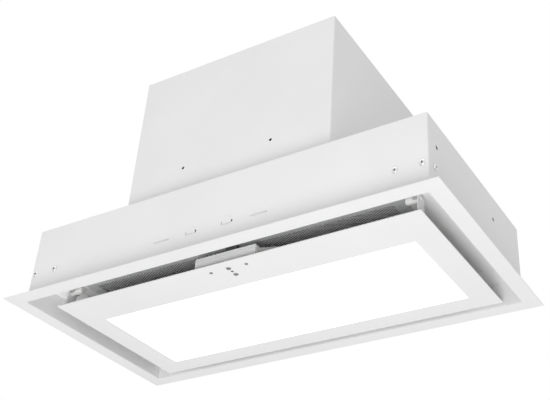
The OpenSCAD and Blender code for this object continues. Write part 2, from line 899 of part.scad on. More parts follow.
module scroll_screws() {
    color("silver") at_blower() {
        for (p = lug_places()) translate([lug_t, p[0], p[1]]) rotate([0, 90, 0])
            pan_screw(screw_head_r, screw_head_t, screw_r, 2 * lug_t);
        for (p = mount_places()) translate([motor_x0 - mount_t, p[0], p[1]]) rotate([0, -90, 0])
            pan_screw(screw_head_r, screw_head_t, screw_r, mount_t + mount_gap + scroll_t);
        translate([0, 0, scroll_top - scroll_flange_t]) for (p = flange_screw_places)
            translate(p) rotate([180, 0, 0])
                pan_screw(screw_head_r, screw_head_t, screw_r, scroll_flange_t + gasket_t + sheet);
    }
}

module outlet_gasket() {
    s = scroll_step / 2;
    color("black") at_blower() translate([0, 0, scroll_top]) linear_extrude(gasket_t) difference() {
        translate([-scroll_w / 2 - scroll_flange, -s - scroll_flange])
            square([scroll_w + 2 * scroll_flange, scroll_r3 + 2 * s + 2 * scroll_flange]);
        translate([-scroll_w / 2 + scroll_t, -s]) square([scroll_w - 2 * scroll_t, scroll_r3 + 2 * s]);
        for (p = flange_screw_places) translate(p) circle(screw_r + screw_gap);
    }
}

// One half of the wheel, drawn at +X: blades between the centre disc and an end ring
module wheel_half() {
    mid_r = wheel_r - blade_depth / 2;
    blade_l = blade_depth * blade_fit_share;
    across(disc_t / 2, wheel_w / 2) for (i = [0 : blade_count - 1]) rotate(i * 360 / blade_count)
        translate([mid_r, 0]) rotate(blade_tilt) square([blade_l, blade_t], center = true);
    across(wheel_w / 2 - ring_t, wheel_w / 2) difference() {
        circle(wheel_r);
        circle(wheel_inner_r);
    }
}

module impeller_right() {
    color("dimgray") at_blower() wheel_half();
}

module impeller_left() {
    color("dimgray") at_blower() mirror([1, 0, 0]) wheel_half();
}

module impeller_disc() {
    color("dimgray") at_blower() difference() {
        union() {
            rod_x(wheel_r, -disc_t / 2, disc_t / 2);
            rod_x(hub_r, -hub_l / 2, hub_l / 2);
        }
        rod_x(shaft_r + fixed_gap, -hub_l, hub_l);
    }
}

module motor_shaft() {
    color("silver") at_blower() rod_x(shaft_r, motor_x0 + 2 * motor_t, hub_l / 2 + motor_t);
}

module motor_rotor() {
    color("slategray") at_blower() difference() {
        rod_x(motor_r - motor_t - stator_depth - air_gap, stator_x0, stator_x0 + stator_l);
        rod_x(shaft_r + fixed_gap, motor_x0, motor_x1);
    }
}

module motor_mount() {
    color("gray") at_blower() difference() {
        union() {
            across(motor_x0 - mount_t, motor_x0) {
                circle(mount_hub_r);
                for (p = mount_places()) translate(p) circle(mount_pad_r);
                for (turn = [45, 135]) rotate(turn) square([2 * mount_post_at, mount_arm_w], center = true);
            }
            for (p = mount_places()) translate([0, p[0], p[1]])
                rod_x(mount_post_r, motor_x0 - mount_t / 2, -scroll_w / 2);
        }
        for (p = mount_places()) translate([0, p[0], p[1]])
            rod_x(screw_r + screw_gap, motor_x0 - mount_t - cut, -scroll_w / 2 + cut);
    }
}

module motor_can() {
    color("silver") at_blower() difference() {
        rod_x(motor_r, motor_x0, motor_x1 - motor_t);
        difference() {
            rod_x(motor_r - motor_t, motor_x0 + motor_t, motor_x1);
            rod_x(bearing_r + boss_t, motor_x0, motor_x0 + motor_t + bearing_l);
        }
        rod_x(bearing_r + fixed_gap, motor_x0 + motor_t, motor_x1);
    }
}

module motor_endcap() {
    color("silver") at_blower() difference() {
        union() {
            rod_x(motor_r, motor_x1 - motor_t, motor_x1);
            rod_x(bearing_r + boss_t, motor_x1 - bearing_l - motor_t, motor_x1);
        }
        rod_x(bearing_r + fixed_gap, motor_x1 - bearing_l - motor_t - cut, motor_x1 - motor_t);
        rod_x(shaft_r + pass_gap, motor_x0, motor_x1 + cut);
    }
}

module motor_stator() {
    outer = motor_r - motor_t - fixed_gap;
    inner = motor_r - motor_t - stator_depth;
    color("slategray") at_blower() across(stator_x0, stator_x0 + stator_l) difference() {
        circle(outer);
        circle(inner);
        for (i = [0 : stator_slots - 1]) rotate(i * 360 / stator_slots)
            translate([inner - cut, -slot_w / 2]) square([slot_depth + cut, slot_w]);
    }
    color("peru") at_blower() for (x = [stator_x0 - coil_l, stator_x0 + stator_l])
        across(x, x + coil_l) difference() {
            circle(inner + slot_depth + slot_w / 2);
            circle(inner + slot_w / 2);
        }
}

module motor_bearings() {
    color("goldenrod") at_blower() for (x = [motor_x0 + motor_t, motor_x1 - motor_t - bearing_l])
        difference() {
            rod_x(bearing_r, x, x + bearing_l);
            rod_x(shaft_r + run_gap, x - cut, x + bearing_l + cut);
        }
}

// Electrical box

box_z0 = canopy_h;
box_z1 = canopy_h + box_h;
gland_x = box_x0 + box_w / 2;
gland_z = box_z0 + gland_rise;

module junction_box() {
    color("gainsboro") difference() {
        slab([box_x0, box_y0, box_z0], [box_x0 + box_w, box_y0 + box_d, box_z1 - box_lid_t]);
        difference() {
            slab([box_x0 + box_t, box_y0 + box_t, box_z0 + box_t],
                 [box_x0 + box_w - box_t, box_y0 + box_d - box_t, box_z1]);
            for (p = board_posts()) translate([p[0], p[1], box_z0]) cylinder(r = boss_r, h = box_t + boss_h);
        }
        translate([box_hole_x, box_y0 + box_d / 2, box_z0 - cut])
            cylinder(r = inlet_cable_r, h = box_t + 2 * cut);
        translate([gland_x, box_y0 + box_d - box_t - cut, gland_z]) rotate([-90, 0, 0])
            cylinder(r = gland_r - box_t + fixed_gap, h = box_t + 2 * cut);
    }
}

module junction_lid() {
    color("gainsboro") {
        slab([box_x0, box_y0, box_z1 - box_lid_t], [box_x0 + box_w, box_y0 + box_d, box_z1]);
        difference() {
            slab([box_x0 + box_t + slot_gap, box_y0 + box_t + slot_gap, box_z1 - box_lid_t - box_lid_lip],
                 [box_x0 + box_w - box_t - slot_gap, box_y0 + box_d - box_t - slot_gap, box_z1 - box_lid_t]);
            slab([box_x0 + 2 * box_t, box_y0 + 2 * box_t, box_z1 - box_lid_t - box_lid_lip - cut],
                 [box_x0 + box_w - 2 * box_t, box_y0 + box_d - 2 * box_t, box_z1 - box_lid_t]);
        }
    }
}

pcb_x0 = box_x0 + box_t + fold_gap;
pcb_x1 = pcb_x0 + pcb_w;
pcb_y0 = box_y0 + box_t + fold_gap;
pcb_y1 = box_y0 + box_d - box_t - gland_inside - fold_gap;
pcb_z = box_z0 + box_t + boss_h;

function board_posts() = [
    for (x = [pcb_x0 + pcb_margin, pcb_x1 - pcb_margin])
        for (y = [pcb_y0 + pcb_margin, pcb_y1 - pcb_margin]) [x, y]
];

// Printed board with a terminal strip, a relay and a transformer
module power_board() {
    top = pcb_z + board_t;
    span = pcb_y1 - pcb_y0;
    terminal_d = span / (terminal_ways + 1);
    terminal_x0 = pcb_x0 + pcb_margin;
    terminal_y1 = pcb_y1 - terminal_d;
    terminal_pitch = (pcb_w - 2 * pcb_margin) / (terminal_ways + 1);
    color("seagreen") slab([pcb_x0, pcb_y0, pcb_z], [pcb_x1, pcb_y1, top]);
    color("darkgreen") difference() {
        slab([terminal_x0, terminal_y1 - terminal_d, top],
             [pcb_x1 - pcb_margin, terminal_y1, top + terminal_h]);
        for (i = [1 : terminal_ways])
            translate([terminal_x0 + i * terminal_pitch, terminal_y1 - terminal_d / 2, top + terminal_h / 2])
                cylinder(r = terminal_pitch / 4, h = terminal_h);
    }
    color("royalblue") slab([pcb_x0 + pcb_margin, pcb_y0 + pcb_margin, top],
                            [pcb_x0 + pcb_w / 2 - fold_gap, pcb_y0 + span / 2 - fold_gap, top + relay_h]);
    color("gold") slab([pcb_x0 + pcb_w / 2 + fold_gap, pcb_y0 + pcb_margin, top],
                       [pcb_x1 - pcb_margin, pcb_y0 + span / 2 - fold_gap, top + transformer_h]);
}

module run_capacitor() {
    x = box_x0 + box_w - box_t - cap_r - 2 * fold_gap;
    y0 = box_y0 + box_t + 2 * cap_stud_r;
    color("white") translate([x, y0, box_z0 + box_t + cap_r]) rotate([-90, 0, 0]) {
        cylinder(r = cap_r - slot_gap, h = cap_l);
        translate([0, 0, -2 * cap_stud_r]) cylinder(r = cap_stud_r, h = 2 * cap_stud_r);
    }
}

module cable_gland() {
    y_wall = box_y0 + box_d;
    color("black") translate([gland_x, y_wall, gland_z]) rotate([-90, 0, 0]) difference() {
        union() {
            cylinder(r = gland_r, h = gland_l - gland_nut_t);
            translate([0, 0, gland_l - gland_nut_t]) cylinder(r = gland_r - box_t / 2, h = gland_nut_t);
            translate([0, 0, -gland_inside]) cylinder(r = gland_r - box_t, h = gland_inside);
        }
        translate([0, 0, -gland_inside - cut])
            cylinder(r = inlet_cable_r, h = gland_inside + gland_l + 2 * cut);
    }
}

// Grease filter

filter_z0 = ceiling_z;
filter_z1 = ceiling_z + filter_h;
latch_y0 = -hole_y - latch_hold;
latch_z0 = filter_z0 + filter_t + pass_gap;
grip_y0 = -filter_d / 2 + filter_inset;

module filter_frame() {
    w = filter_w / 2;
    d = filter_d / 2;
    tab_x = w * hook_tab_share;
    tab_z = filter_z0 + sheet + slot_gap;
    grip_y1 = grip_y0 + latch_grip_d + latch_travel;
    color("silver") difference() {
        union() {
            slab([-w, -d, filter_z0], [w, d, filter_z1]);
            both_sides() slab([tab_x, d - filter_t, tab_z],
                              [tab_x + hook_tab_w, hole_y + latch_hold, tab_z + filter_t]);
        }
        slab([-w + filter_t, -d + filter_t, filter_z0 + filter_t],
             [w - filter_t, d - filter_t, filter_z1 - filter_t]);
        difference() {
            slab([-w + filter_border, -d + filter_border, filter_z0 - cut],
                 [w - filter_border, d - filter_border, filter_z1]);
            slab([-latch_w / 2 - filter_t, -d, filter_z0],
                 [latch_w / 2 + filter_t, -d + filter_border + latch_pad, filter_z0 + filter_t]);
        }
        slab([-w + filter_top_lip, -d + filter_top_lip, filter_z1 - 2 * filter_t],
             [w - filter_top_lip, d - filter_top_lip, filter_z1 + cut]);
        slab([-latch_w / 2 - slot_gap, -d - cut, latch_z0 - slot_gap],
             [latch_w / 2 + slot_gap, -d + 2 * filter_t, latch_z0 + latch_t + slot_gap]);
        slab([-latch_grip_w / 2 - slot_gap, grip_y0 - slot_gap, filter_z0 - cut],
             [latch_grip_w / 2 + slot_gap, grip_y1 + slot_gap, filter_z0 + 2 * filter_t]);
    }
}

// Room that the latch needs inside the filter
module latch_pocket(z0, z1) {
    slab([-latch_w / 2 - 2 * filter_t, -filter_d / 2, z0],
         [latch_w / 2 + 2 * filter_t, grip_y0 + latch_d + latch_travel + fold_gap, z1]);
}

module filter_mesh() {
    w = filter_w / 2 - filter_inset;
    d = filter_d / 2 - filter_inset;
    z = filter_z0 + filter_t;
    face_w = filter_w - 2 * filter_border - mesh_web;
    face_d = filter_d - 2 * filter_border - mesh_web;
    pitch_x = face_w / mesh_cols;
    pitch_y = face_d / mesh_rows;
    color("dimgray") difference() {
        slab([-w, -d, z], [w, d, z + mesh_t]);
        latch_pocket(z - cut, z + mesh_t + cut);
        for (i = [0 : mesh_cols - 1], j = [0 : mesh_rows - 1]) {
            x = -face_w / 2 + (i + 1 / 2) * pitch_x;
            y = -face_d / 2 + (j + 1 / 2) * pitch_y;
            slab([x - (pitch_x - mesh_web) / 2, y - (pitch_y - mesh_web) / 2, z - cut],
                 [x + (pitch_x - mesh_web) / 2, y + (pitch_y - mesh_web) / 2, z + mesh_t + cut]);
        }
    }
}

// Corrugated layer of the filter pack, on top of the face mesh
module filter_media() {
    w = filter_w / 2 - filter_inset;
    d = filter_d / 2 - filter_inset;
    z = filter_z0 + filter_t + mesh_t;
    fold = 2 * d / media_folds;
    crest = media_t - media_sheet;
    zigzag = [for (i = [0 : media_folds]) [-d + i * fold, z + (i % 2) * crest]];
    color("gray") difference() {
        across(-w, w) polygon(concat(
            zigzag,
            [for (i = [0 : media_folds]) zigzag[media_folds - i] + [0, media_sheet]]
        ));
        latch_pocket(z - cut, z + media_t + cut);
    }
}

module filter_latch() {
    plate_y1 = grip_y0 + latch_d;
    color("dimgray") {
        slab([-latch_w / 2, latch_y0, latch_z0], [latch_w / 2, plate_y1, latch_z0 + latch_t]);
        slab([-latch_grip_w / 2, grip_y0, filter_z0 - latch_grip_drop],
             [latch_grip_w / 2, grip_y0 + latch_grip_d, latch_z0 + latch_t / 2]);
    }
}

// Panel

module mark_holes(extra, z0, z1) {
    for (x = [-side_button_x, side_button_x]) translate([x, mark_y, z0])
        cylinder(r = small_button_r + extra, h = z1 - z0);
    for (y = [mark_y, mark_y + plus_minus_pitch]) translate([0, y, z0])
        cylinder(r = large_button_r + extra, h = z1 - z0);
    translate([0, indicator_y, z0]) cylinder(r = small_button_r + fixed_gap, h = z1 - z0);
}

module panel_face() {
    color("white") difference() {
        slab([-panel_w / 2, panel_y0, panel_z], [panel_w / 2, panel_y1, panel_top]);
        slab([-light_x, light_y0, panel_z - cut], [light_x, light_y1, panel_top + cut]);
        mark_holes(pass_gap / 2, panel_z - cut, panel_top + cut);
    }
}

module light_diffuser() {
    g = slot_gap / 2;
    color("white") {
        slab([-light_x + g, light_y0 + g, panel_z + diffuser_inset], [light_x - g, light_y1 - g, panel_top]);
        slab([-light_x - diffuser_rim, light_y0 - diffuser_rim, panel_top],
             [light_x + diffuser_rim, light_y1 + diffuser_rim, panel_top + diffuser_rim_t]);
    }
}

guide_z0 = panel_top + diffuser_rim_t;
tray_x = light_x + tray_side;
tray_y0 = light_y0 - tray_end;
tray_y1 = light_y1 + tray_end;
tray_top = panel_top + tray_h;

module light_guide() {
    reach = tray_end - tray_t - strip_t - led_t - pass_gap;
    color("lightcyan") slab([-light_x, light_y0 - reach, guide_z0],
                            [light_x, light_y1 + reach, guide_z0 + guide_t]);
}

// Two boards of light-emitting diodes that stand against the tray's long walls and face the guide
module led_strips() {
    mid = (light_y0 + light_y1) / 2;
    y0 = tray_y0 + tray_t - mid;
    pitch = 2 * light_x / led_count;
    translate([0, mid, 0]) front_and_back() {
        color("white") slab([-light_x, y0, guide_z0], [light_x, y0 + strip_t, guide_z0 + strip_h]);
        color("khaki") for (i = [0 : led_count - 1]) translate([-light_x + (i + 1 / 2) * pitch, 0, 0])
            slab([-led_w / 2, y0 + strip_t / 2, guide_z0 + (guide_t - led_h) / 2],
                 [led_w / 2, y0 + strip_t + led_t, guide_z0 + (guide_t + led_h) / 2]);
    }
}

module light_tray() {
    tray_mid = (light_y0 + light_y1) / 2;
    color("silver") {
        difference() {
            slab([-tray_x, tray_y0, panel_top], [tray_x, tray_y1, tray_top]);
            slab([-tray_x + tray_t, tray_y0 + tray_t, panel_top - cut],
                 [tray_x - tray_t, tray_y1 - tray_t, tray_top - tray_t]);
            lead_entry_hole();
        }
        both_sides() {
            slab([tray_x - tray_t, tray_y0, panel_top], [tray_x + tray_foot, tray_y1, panel_top + tray_t]);
            for (y = [tray_y0 + rivet_inset, tray_mid, tray_y1 - rivet_inset])
                translate([tray_x + tray_foot / 2, y, panel_top + tray_t]) cylinder(r = rivet_r, h = rivet_t);
        }
    }
}

// Control box on the back of the panel, its board, buttons and indicator

module control_box() {
    w = ctrl_w / 2;
    color("gainsboro") difference() {
        union() {
            slab([-w, ctrl_y0, panel_top], [w, ctrl_y1, ctrl_top_z]);
            both_sides() slab([w - ctrl_t, ctrl_y0 + ctrl_d / 2, panel_top],
                              [w + ctrl_foot, ctrl_y1, panel_top + ctrl_t]);
        }
        slab([-w + ctrl_t, ctrl_y0 + ctrl_t, panel_top - cut],
             [w - ctrl_t, ctrl_y1 - ctrl_t, ctrl_top_z - ctrl_t]);
        translate([0, lead_y, lead_z]) rod_x(lead_gland_r - ctrl_t, w - 2 * ctrl_t, w + cut);
    }
}

module control_board() {
    w = ctrl_w / 2 - ctrl_t - board_margin;
    color("seagreen") {
        slab([-w, ctrl_y0 + ctrl_t + board_margin / 2, board_z],
             [w, ctrl_y1 - ctrl_t - board_margin / 2, board_z + board_t]);
        for (p = [[-side_button_x, 0], [side_button_x, 0], [0, 0], [0, plus_minus_pitch]])
            slab([p[0] - switch_w / 2, mark_y + p[1] - switch_w / 2, switch_z],
                 [p[0] + switch_w / 2, mark_y + p[1] + switch_w / 2, board_z]);
        both_sides() translate([w - board_margin / 2, (ctrl_y0 + ctrl_y1) / 2, board_z + board_t])
            cylinder(r = board_margin / 2, h = ctrl_top_z - ctrl_t - board_z - board_t);
    }
}

module button(x, y, r) {
    stem_top = switch_z - button_travel - button_stem_gap;
    color("dimgray") translate([x, y, 0]) {
        translate([0, 0, panel_z - button_stand]) cylinder(r = r, h = panel_top - panel_z + button_stand);
        translate([0, 0, panel_top]) cylinder(r = r + button_flange, h = button_flange_t);
        translate([0, 0, panel_top]) cylinder(r = small_button_r / 2, h = stem_top - panel_top);
    }
}

module button_power() {
    button(-side_button_x, mark_y, small_button_r);
}

module button_light() {
    button(side_button_x, mark_y, small_button_r);
}

module button_plus() {
    button(0, mark_y, large_button_r);
}

module button_minus() {
    button(0, mark_y + plus_minus_pitch, large_button_r);
}

module indicator_lens() {
    color("dimgray") translate([0, indicator_y, 0]) {
        translate([0, 0, panel_z]) cylinder(r = small_button_r, h = panel_t);
        translate([0, 0, panel_top]) cylinder(r = small_button_r + lens_flange / 2, h = lens_flange);
        translate([0, 0, panel_top]) cylinder(r = small_button_r / 2, h = board_z - panel_top);
    }
}

// Lead from the control box to the light tray

lead_y = ctrl_y0 + lead_inset;
lead_z = panel_top + 2 * lead_gland_r + 2 * fold_gap;
lead_x0 = ctrl_w / 2;
lead_entry_x = lead_x0 + lead_run;

module lead_entry_hole() {
    translate([lead_entry_x, tray_y0 - cut, lead_low]) rotate([-90, 0, 0])
        cylinder(r = lead_r + slot_gap, h = 2 * cut + tray_t);
}

module lead_tube(points, r, sides) {
    n = len(points);
    rings = [
        for (i = [0 : n - 1]) let (
            a = points[max(i - 1, 0)],
            b = points[min(i + 1, n - 1)],
            dir = (b - a) / norm(b - a),
            side = cross(dir, [0, 0, 1]) / norm(cross(dir, [0, 0, 1])),
            up = cross(side, dir)
        ) [
            for (k = [0 : sides - 1]) let (turn = k * 360 / sides)
                points[i] + r * (cos(turn) * side + sin(turn) * up)
        ]
    ];
    polyhedron(
        points = [for (ring = rings, p = ring) p],
        faces = concat(
            [[for (k = [0 : sides - 1]) sides - 1 - k]],
            [for (i = [0 : n - 2], k = [0 : sides - 1], half = [0, 1]) let (
                a = i * sides + k,
                b = i * sides + (k + 1) % sides
            ) half == 0 ? [a, b, a + sides] : [b, b + sides, a + sides]],
            [[for (k = [0 : sides - 1]) (n - 1) * sides + k]]
        )
    );
}

lead_low = panel_top + lead_r + fold_gap;
lead_a = [lead_x0 + lead_gland_l - fold_gap, lead_y, lead_z];
lead_b = [lead_entry_x, tray_y0 + tray_t / 2, lead_low];

function bezier(t) = let (
        p1 = lead_a + [lead_pull, 0, 0],
        p2 = lead_b - [0, lead_pull / 2, 0]
    ) pow(1 - t, 3) * lead_a + 3 * t * pow(1 - t, 2) * p1 + 3 * t * t * (1 - t) * p2 + pow(t, 3) * lead_b;

module control_lead() {
    steps = 16;
    color("lightgray") {
        translate([0, lead_y, lead_z]) {
            rod_x(lead_gland_r, lead_x0, lead_x0 + lead_gland_l);
            rod_x(lead_gland_r - ctrl_t - fixed_gap, lead_x0 - 2 * ctrl_t, lead_x0);
        }
        lead_tube([for (i = [0 : steps]) bezier(i / steps)], lead_r, lead_sides);
    }
}

// Catches and hinges of the panel

module catch_brackets() {
    x = catch_plate_x;
    y0 = catch_y - catch_plate_d / 2;
    color("lightgray") both_sides() difference() {
        union() {
            slab([x - catch_plate_t, y0, panel_top], [x, y0 + catch_plate_d, catch_z + catch_r]);
            slab([x - catch_foot, y0, panel_top], [x, y0 + catch_plate_d, panel_top + catch_plate_t]);
        }
        translate([0, catch_y, catch_z]) rod_x(catch_rivet_r + fixed_gap, x - catch_plate_t - cut, x + cut);
    }
}

module catch_pins() {
    x1 = catch_plate_x - catch_plate_t;
    color("white") both_sides() translate([0, catch_y, catch_z]) {
        rod_x(catch_r, x1 - catch_l + catch_nose, x1);
        rod_x(catch_r * catch_nose_share, x1 - catch_l, x1);
        rod_x(catch_rivet_r, x1, catch_plate_x + catch_plate_t);
    }
}

// Ears that stand on the panel's back on both sides of each fixed ear
module hinge_leaves() {
    y0 = hinge_y - 2 * ear_r - ear_t;
    color("silver") both_sides() difference() {
        union() {
            for (x = [hinge_x - ear_gap - ear_t, hinge_x + ear_t + ear_gap]) {
                translate([0, hinge_y, hinge_z]) rod_x(ear_r, x, x + ear_t);
                slab([x, y0, panel_top], [x + ear_t, hinge_y, hinge_z]);
                slab([x, hinge_y - ear_r, panel_top], [x + ear_t, hinge_y, hinge_z]);
            }
            slab([hinge_x - ear_gap - ear_t - leaf_foot / 2, y0, panel_top],
                 [hinge_x + 2 * ear_t + ear_gap + leaf_foot / 2, hinge_y - ear_r, panel_top + ear_t]);
        }
        translate([0, hinge_y, hinge_z])
            rod_x(hinge_pin_r + fixed_gap, hinge_x - leaf_foot, hinge_x + leaf_foot + ear_t);
    }
}

module hinge_pins() {
    x0 = hinge_x - ear_gap - ear_t;
    x1 = hinge_x + 2 * ear_t + ear_gap;
    color("dimgray") both_sides() translate([0, hinge_y, hinge_z]) {
        rod_x(hinge_pin_r, x0, x1 + hinge_pin_head_t);
        rod_x(hinge_pin_head_r, x0 - hinge_pin_head_t, x0);
    }
}

flange_frame();
front_wall();
back_wall();
left_wall();
right_wall();
canopy_top();
recess_ceiling();
filter_rails();
catch_clips();
hinge_brackets();
body_screws();
housing_shell();
housing_back();
housing_top();
housing_screws();
duct_collar();
flap_spindle();
flap_front();
flap_back();
scroll_left();
scroll_right();
scroll_screws();
outlet_gasket();
impeller_left();
impeller_right();
impeller_disc();
motor_shaft();
motor_rotor();
motor_mount();
motor_can();
motor_endcap();
motor_stator();
motor_bearings();
junction_box();
junction_lid();
power_board();
run_capacitor();
cable_gland();
filter_frame();
filter_mesh();
filter_media();
filter_latch();
panel_face();
light_diffuser();
light_guide();
led_strips();
light_tray();
control_box();
control_board();
indicator_lens();
control_lead();
catch_brackets();
catch_pins();
hinge_leaves();
hinge_pins();
button_power();
button_light();
button_plus();
button_minus();
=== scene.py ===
import math

import bmesh
import bpy
from mathutils import Matrix, Vector


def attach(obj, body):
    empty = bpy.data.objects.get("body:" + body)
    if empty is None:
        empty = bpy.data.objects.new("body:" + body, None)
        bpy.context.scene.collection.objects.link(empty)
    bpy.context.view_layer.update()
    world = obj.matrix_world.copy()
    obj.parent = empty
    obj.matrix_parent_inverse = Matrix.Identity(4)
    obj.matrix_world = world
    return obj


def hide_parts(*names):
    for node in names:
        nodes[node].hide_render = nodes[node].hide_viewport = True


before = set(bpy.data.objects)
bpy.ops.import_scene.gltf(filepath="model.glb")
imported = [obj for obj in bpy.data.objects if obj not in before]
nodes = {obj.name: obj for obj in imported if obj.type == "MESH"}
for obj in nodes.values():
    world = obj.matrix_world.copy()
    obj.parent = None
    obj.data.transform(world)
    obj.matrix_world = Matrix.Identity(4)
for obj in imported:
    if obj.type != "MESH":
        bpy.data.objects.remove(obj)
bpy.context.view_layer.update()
scene = bpy.context.scene
scene.view_settings.view_transform = "Standard"
MM = 0.001


# Materials

def linear(code):
    """An sRGB hex value as a linear colour."""
    parts = [int(code[i:i + 2], 16) / 255 for i in (0, 2, 4)]
    return tuple(c / 12.92 if c <= 0.04045 else ((c + 0.055) / 1.055) ** 2.4 for c in parts) + (1.0,)


def add(tree, kind, inputs=None, stops=(), **settings):
    """Adds a node with its settings, its values or links, and the stops of a ramp."""
    node = tree.nodes.new(kind)
    for name, value in settings.items():
        setattr(node, name, value)
    for name, value in (inputs or {}).items():
        if isinstance(value, bpy.types.NodeSocket):
            tree.links.new(value, node.inputs[name])
        else:
            node.inputs[name].default_value = value
    for i, (place, colour) in enumerate(stops):
        stop = node.color_ramp.elements[i] if i < 2 else node.color_ramp.elements.new(place)
        stop.position = place
        stop.color = linear(colour)
    return node


def begin(name, values=None):
    """A new material with its tree, its shader set to some values, and the Object coordinates."""
    material = bpy.data.materials.new(name)
    material.use_nodes = True
    tree = material.node_tree
    tree.nodes.clear()
    shader = add(tree, "ShaderNodeBsdfPrincipled", values)
    add(tree, "ShaderNodeOutputMaterial", {"Surface": shader.outputs[0]})
    place = add(tree, "ShaderNodeTexCoord").outputs["Object"]
    return material, tree, shader, place


def link_up(tree, shader, tone, gloss, bump=None):
    """Gives the shader its colour, its gloss and, where there is one, its bump."""
    for socket, node in (("Base Color", tone), ("Roughness", gloss), ("Normal", bump)):
        if node:
            tree.links.new(node.outputs[0], shader.inputs[socket])


def powder_coat(name, pale, deep, rough):
    """Powder coat: an even satin film with a faint orange peel, a little uneven over a hand's width."""
    peel, cloud = 1.6 * MM, 120 * MM
    material, tree, shader, place = begin(name, {"IOR": 1.5})
    patches = add(tree, "ShaderNodeTexNoise", {"Vector": place, "Scale": 1 / cloud, "Detail": 2.0})
    tone = add(tree, "ShaderNodeValToRGB", {"Fac": patches.outputs[0]}, [(0.3, deep), (0.7, pale)])
    waves = add(tree, "ShaderNodeTexNoise", {"Vector": place, "Scale": 1 / peel, "Detail": 1.0})
    bump = add(tree, "ShaderNodeBump", {"Height": waves.outputs[0], "Distance": 0.02 * MM, "Strength": 0.5})
    gloss = add(tree, "ShaderNodeMapRange", {"Value": patches.outputs[0],
                                             "To Min": rough - 0.04, "To Max": rough + 0.05})
    link_up(tree, shader, tone, gloss, bump)
    return material


def rolled_metal(name, pale, deep, rough, along=(1, 40, 40), grain=0.35 * MM):
    """Rolled metal: fine streaks, 40 grains long on an axis marked 1 and a grain wide on one marked 40."""
    longest = 40 * grain
    material, tree, shader, place = begin(name, {"Metallic": 1.0})
    streaked = add(tree, "ShaderNodeMapping", {"Vector": place, "Scale": [mark / longest for mark in along]})
    streaks = add(tree, "ShaderNodeTexNoise", {"Vector": streaked.outputs[0], "Scale": 1.0, "Detail": 3.0})
    tone = add(tree, "ShaderNodeValToRGB", {"Fac": streaks.outputs[0]}, [(0.3, deep), (0.7, pale)])
    gloss = add(tree, "ShaderNodeMapRange", {"Value": streaks.outputs[0],
                                             "To Min": rough - 0.06, "To Max": rough + 0.1})
    bump = add(tree, "ShaderNodeBump", {"Height": streaks.outputs[0],
                                        "Distance": 0.006 * MM, "Strength": 0.6})
    link_up(tree, shader, tone, gloss, bump)
    return material


def dulled_aluminium(name, pale, deep, metal):
    """Aluminium gone dull in use: a grey film over a little bare metal, blotchy over a few millimetres."""
    blot = 7 * MM
    material, tree, shader, place = begin(name, {"Metallic": metal})
    blots = add(tree, "ShaderNodeTexNoise", {"Vector": place, "Scale": 1 / blot, "Detail": 3.0})
    tone = add(tree, "ShaderNodeValToRGB", {"Fac": blots.outputs[0]}, [(0.3, deep), (0.7, pale)])
    gloss = add(tree, "ShaderNodeMapRange", {"Value": blots.outputs[0], "To Min": 0.45, "To Max": 0.62})
    link_up(tree, shader, tone, gloss)
    return material


def zinc_plate(name, pale, deep, rough):
    """Zinc-plated sheet: soft crystals a few millimetres across that differ a little in tone and gloss."""
    crystal = 4.5 * MM
    material, tree, shader, place = begin(name, {"Metallic": 1.0})
    cells = add(tree, "ShaderNodeTexVoronoi", {"Vector": place, "Scale": 1 / crystal, "Randomness": 1.0})
    shade = add(tree, "ShaderNodeRGBToBW", {"Color": cells.outputs["Color"]})
    tone = add(tree, "ShaderNodeValToRGB", {"Fac": shade.outputs[0]}, [(0.15, deep), (0.85, pale)])
    gloss = add(tree, "ShaderNodeMapRange", {"Value": shade.outputs[0],
                                             "To Min": rough - 0.05, "To Max": rough + 0.08})
    link_up(tree, shader, tone, gloss)
    return material


def moulded_plastic(name, pale, deep, rough, grit=0.6 * MM, depth=0.02 * MM):
    """Moulded plastic: a spark-eroded grain from the mould and faint flow clouds in the colour."""
    cloud = 35 * MM
    material, tree, shader, place = begin(name, {"IOR": 1.46})
    flow = add(tree, "ShaderNodeTexNoise", {"Vector": place, "Scale": 1 / cloud, "Detail": 2.0})
    tone = add(tree, "ShaderNodeValToRGB", {"Fac": flow.outputs[0]}, [(0.3, deep), (0.7, pale)])
    grain = add(tree, "ShaderNodeTexNoise", {"Vector": place, "Scale": 1 / grit, "Detail": 2.0})
    gloss = add(tree, "ShaderNodeMapRange", {"Value": grain.outputs[0],
                                             "To Min": rough - 0.05, "To Max": rough + 0.07})
    bump = add(tree, "ShaderNodeBump", {"Height": grain.outputs[0], "Distance": depth, "Strength": 0.6})
    link_up(tree, shader, tone, gloss, bump)
    return material


def packed_bands(name, pale, deep, band, rough):
    """Thin sheets or wires side by side along X: one fine band for each, the hollows between them darker.
    Between round wires that darkness is painted shade; between sheets it is the dark joint.
    """
    material, tree, shader, place = begin(name, {"Metallic": 1.0})
    bands = add(tree, "ShaderNodeTexWave", {"Vector": place, "Scale": math.pi / 10 / band, "Distortion": 0.3},
                bands_direction="X")
    tone = add(tree, "ShaderNodeValToRGB", {"Fac": bands.outputs[0]}, [(0.3, deep), (0.8, pale)])
    gloss = add(tree, "ShaderNodeMapRange", {"Value": bands.outputs[0],
                                             "To Min": rough + 0.15, "To Max": rough - 0.05})
    link_up(tree, shader, tone, gloss)
    return material


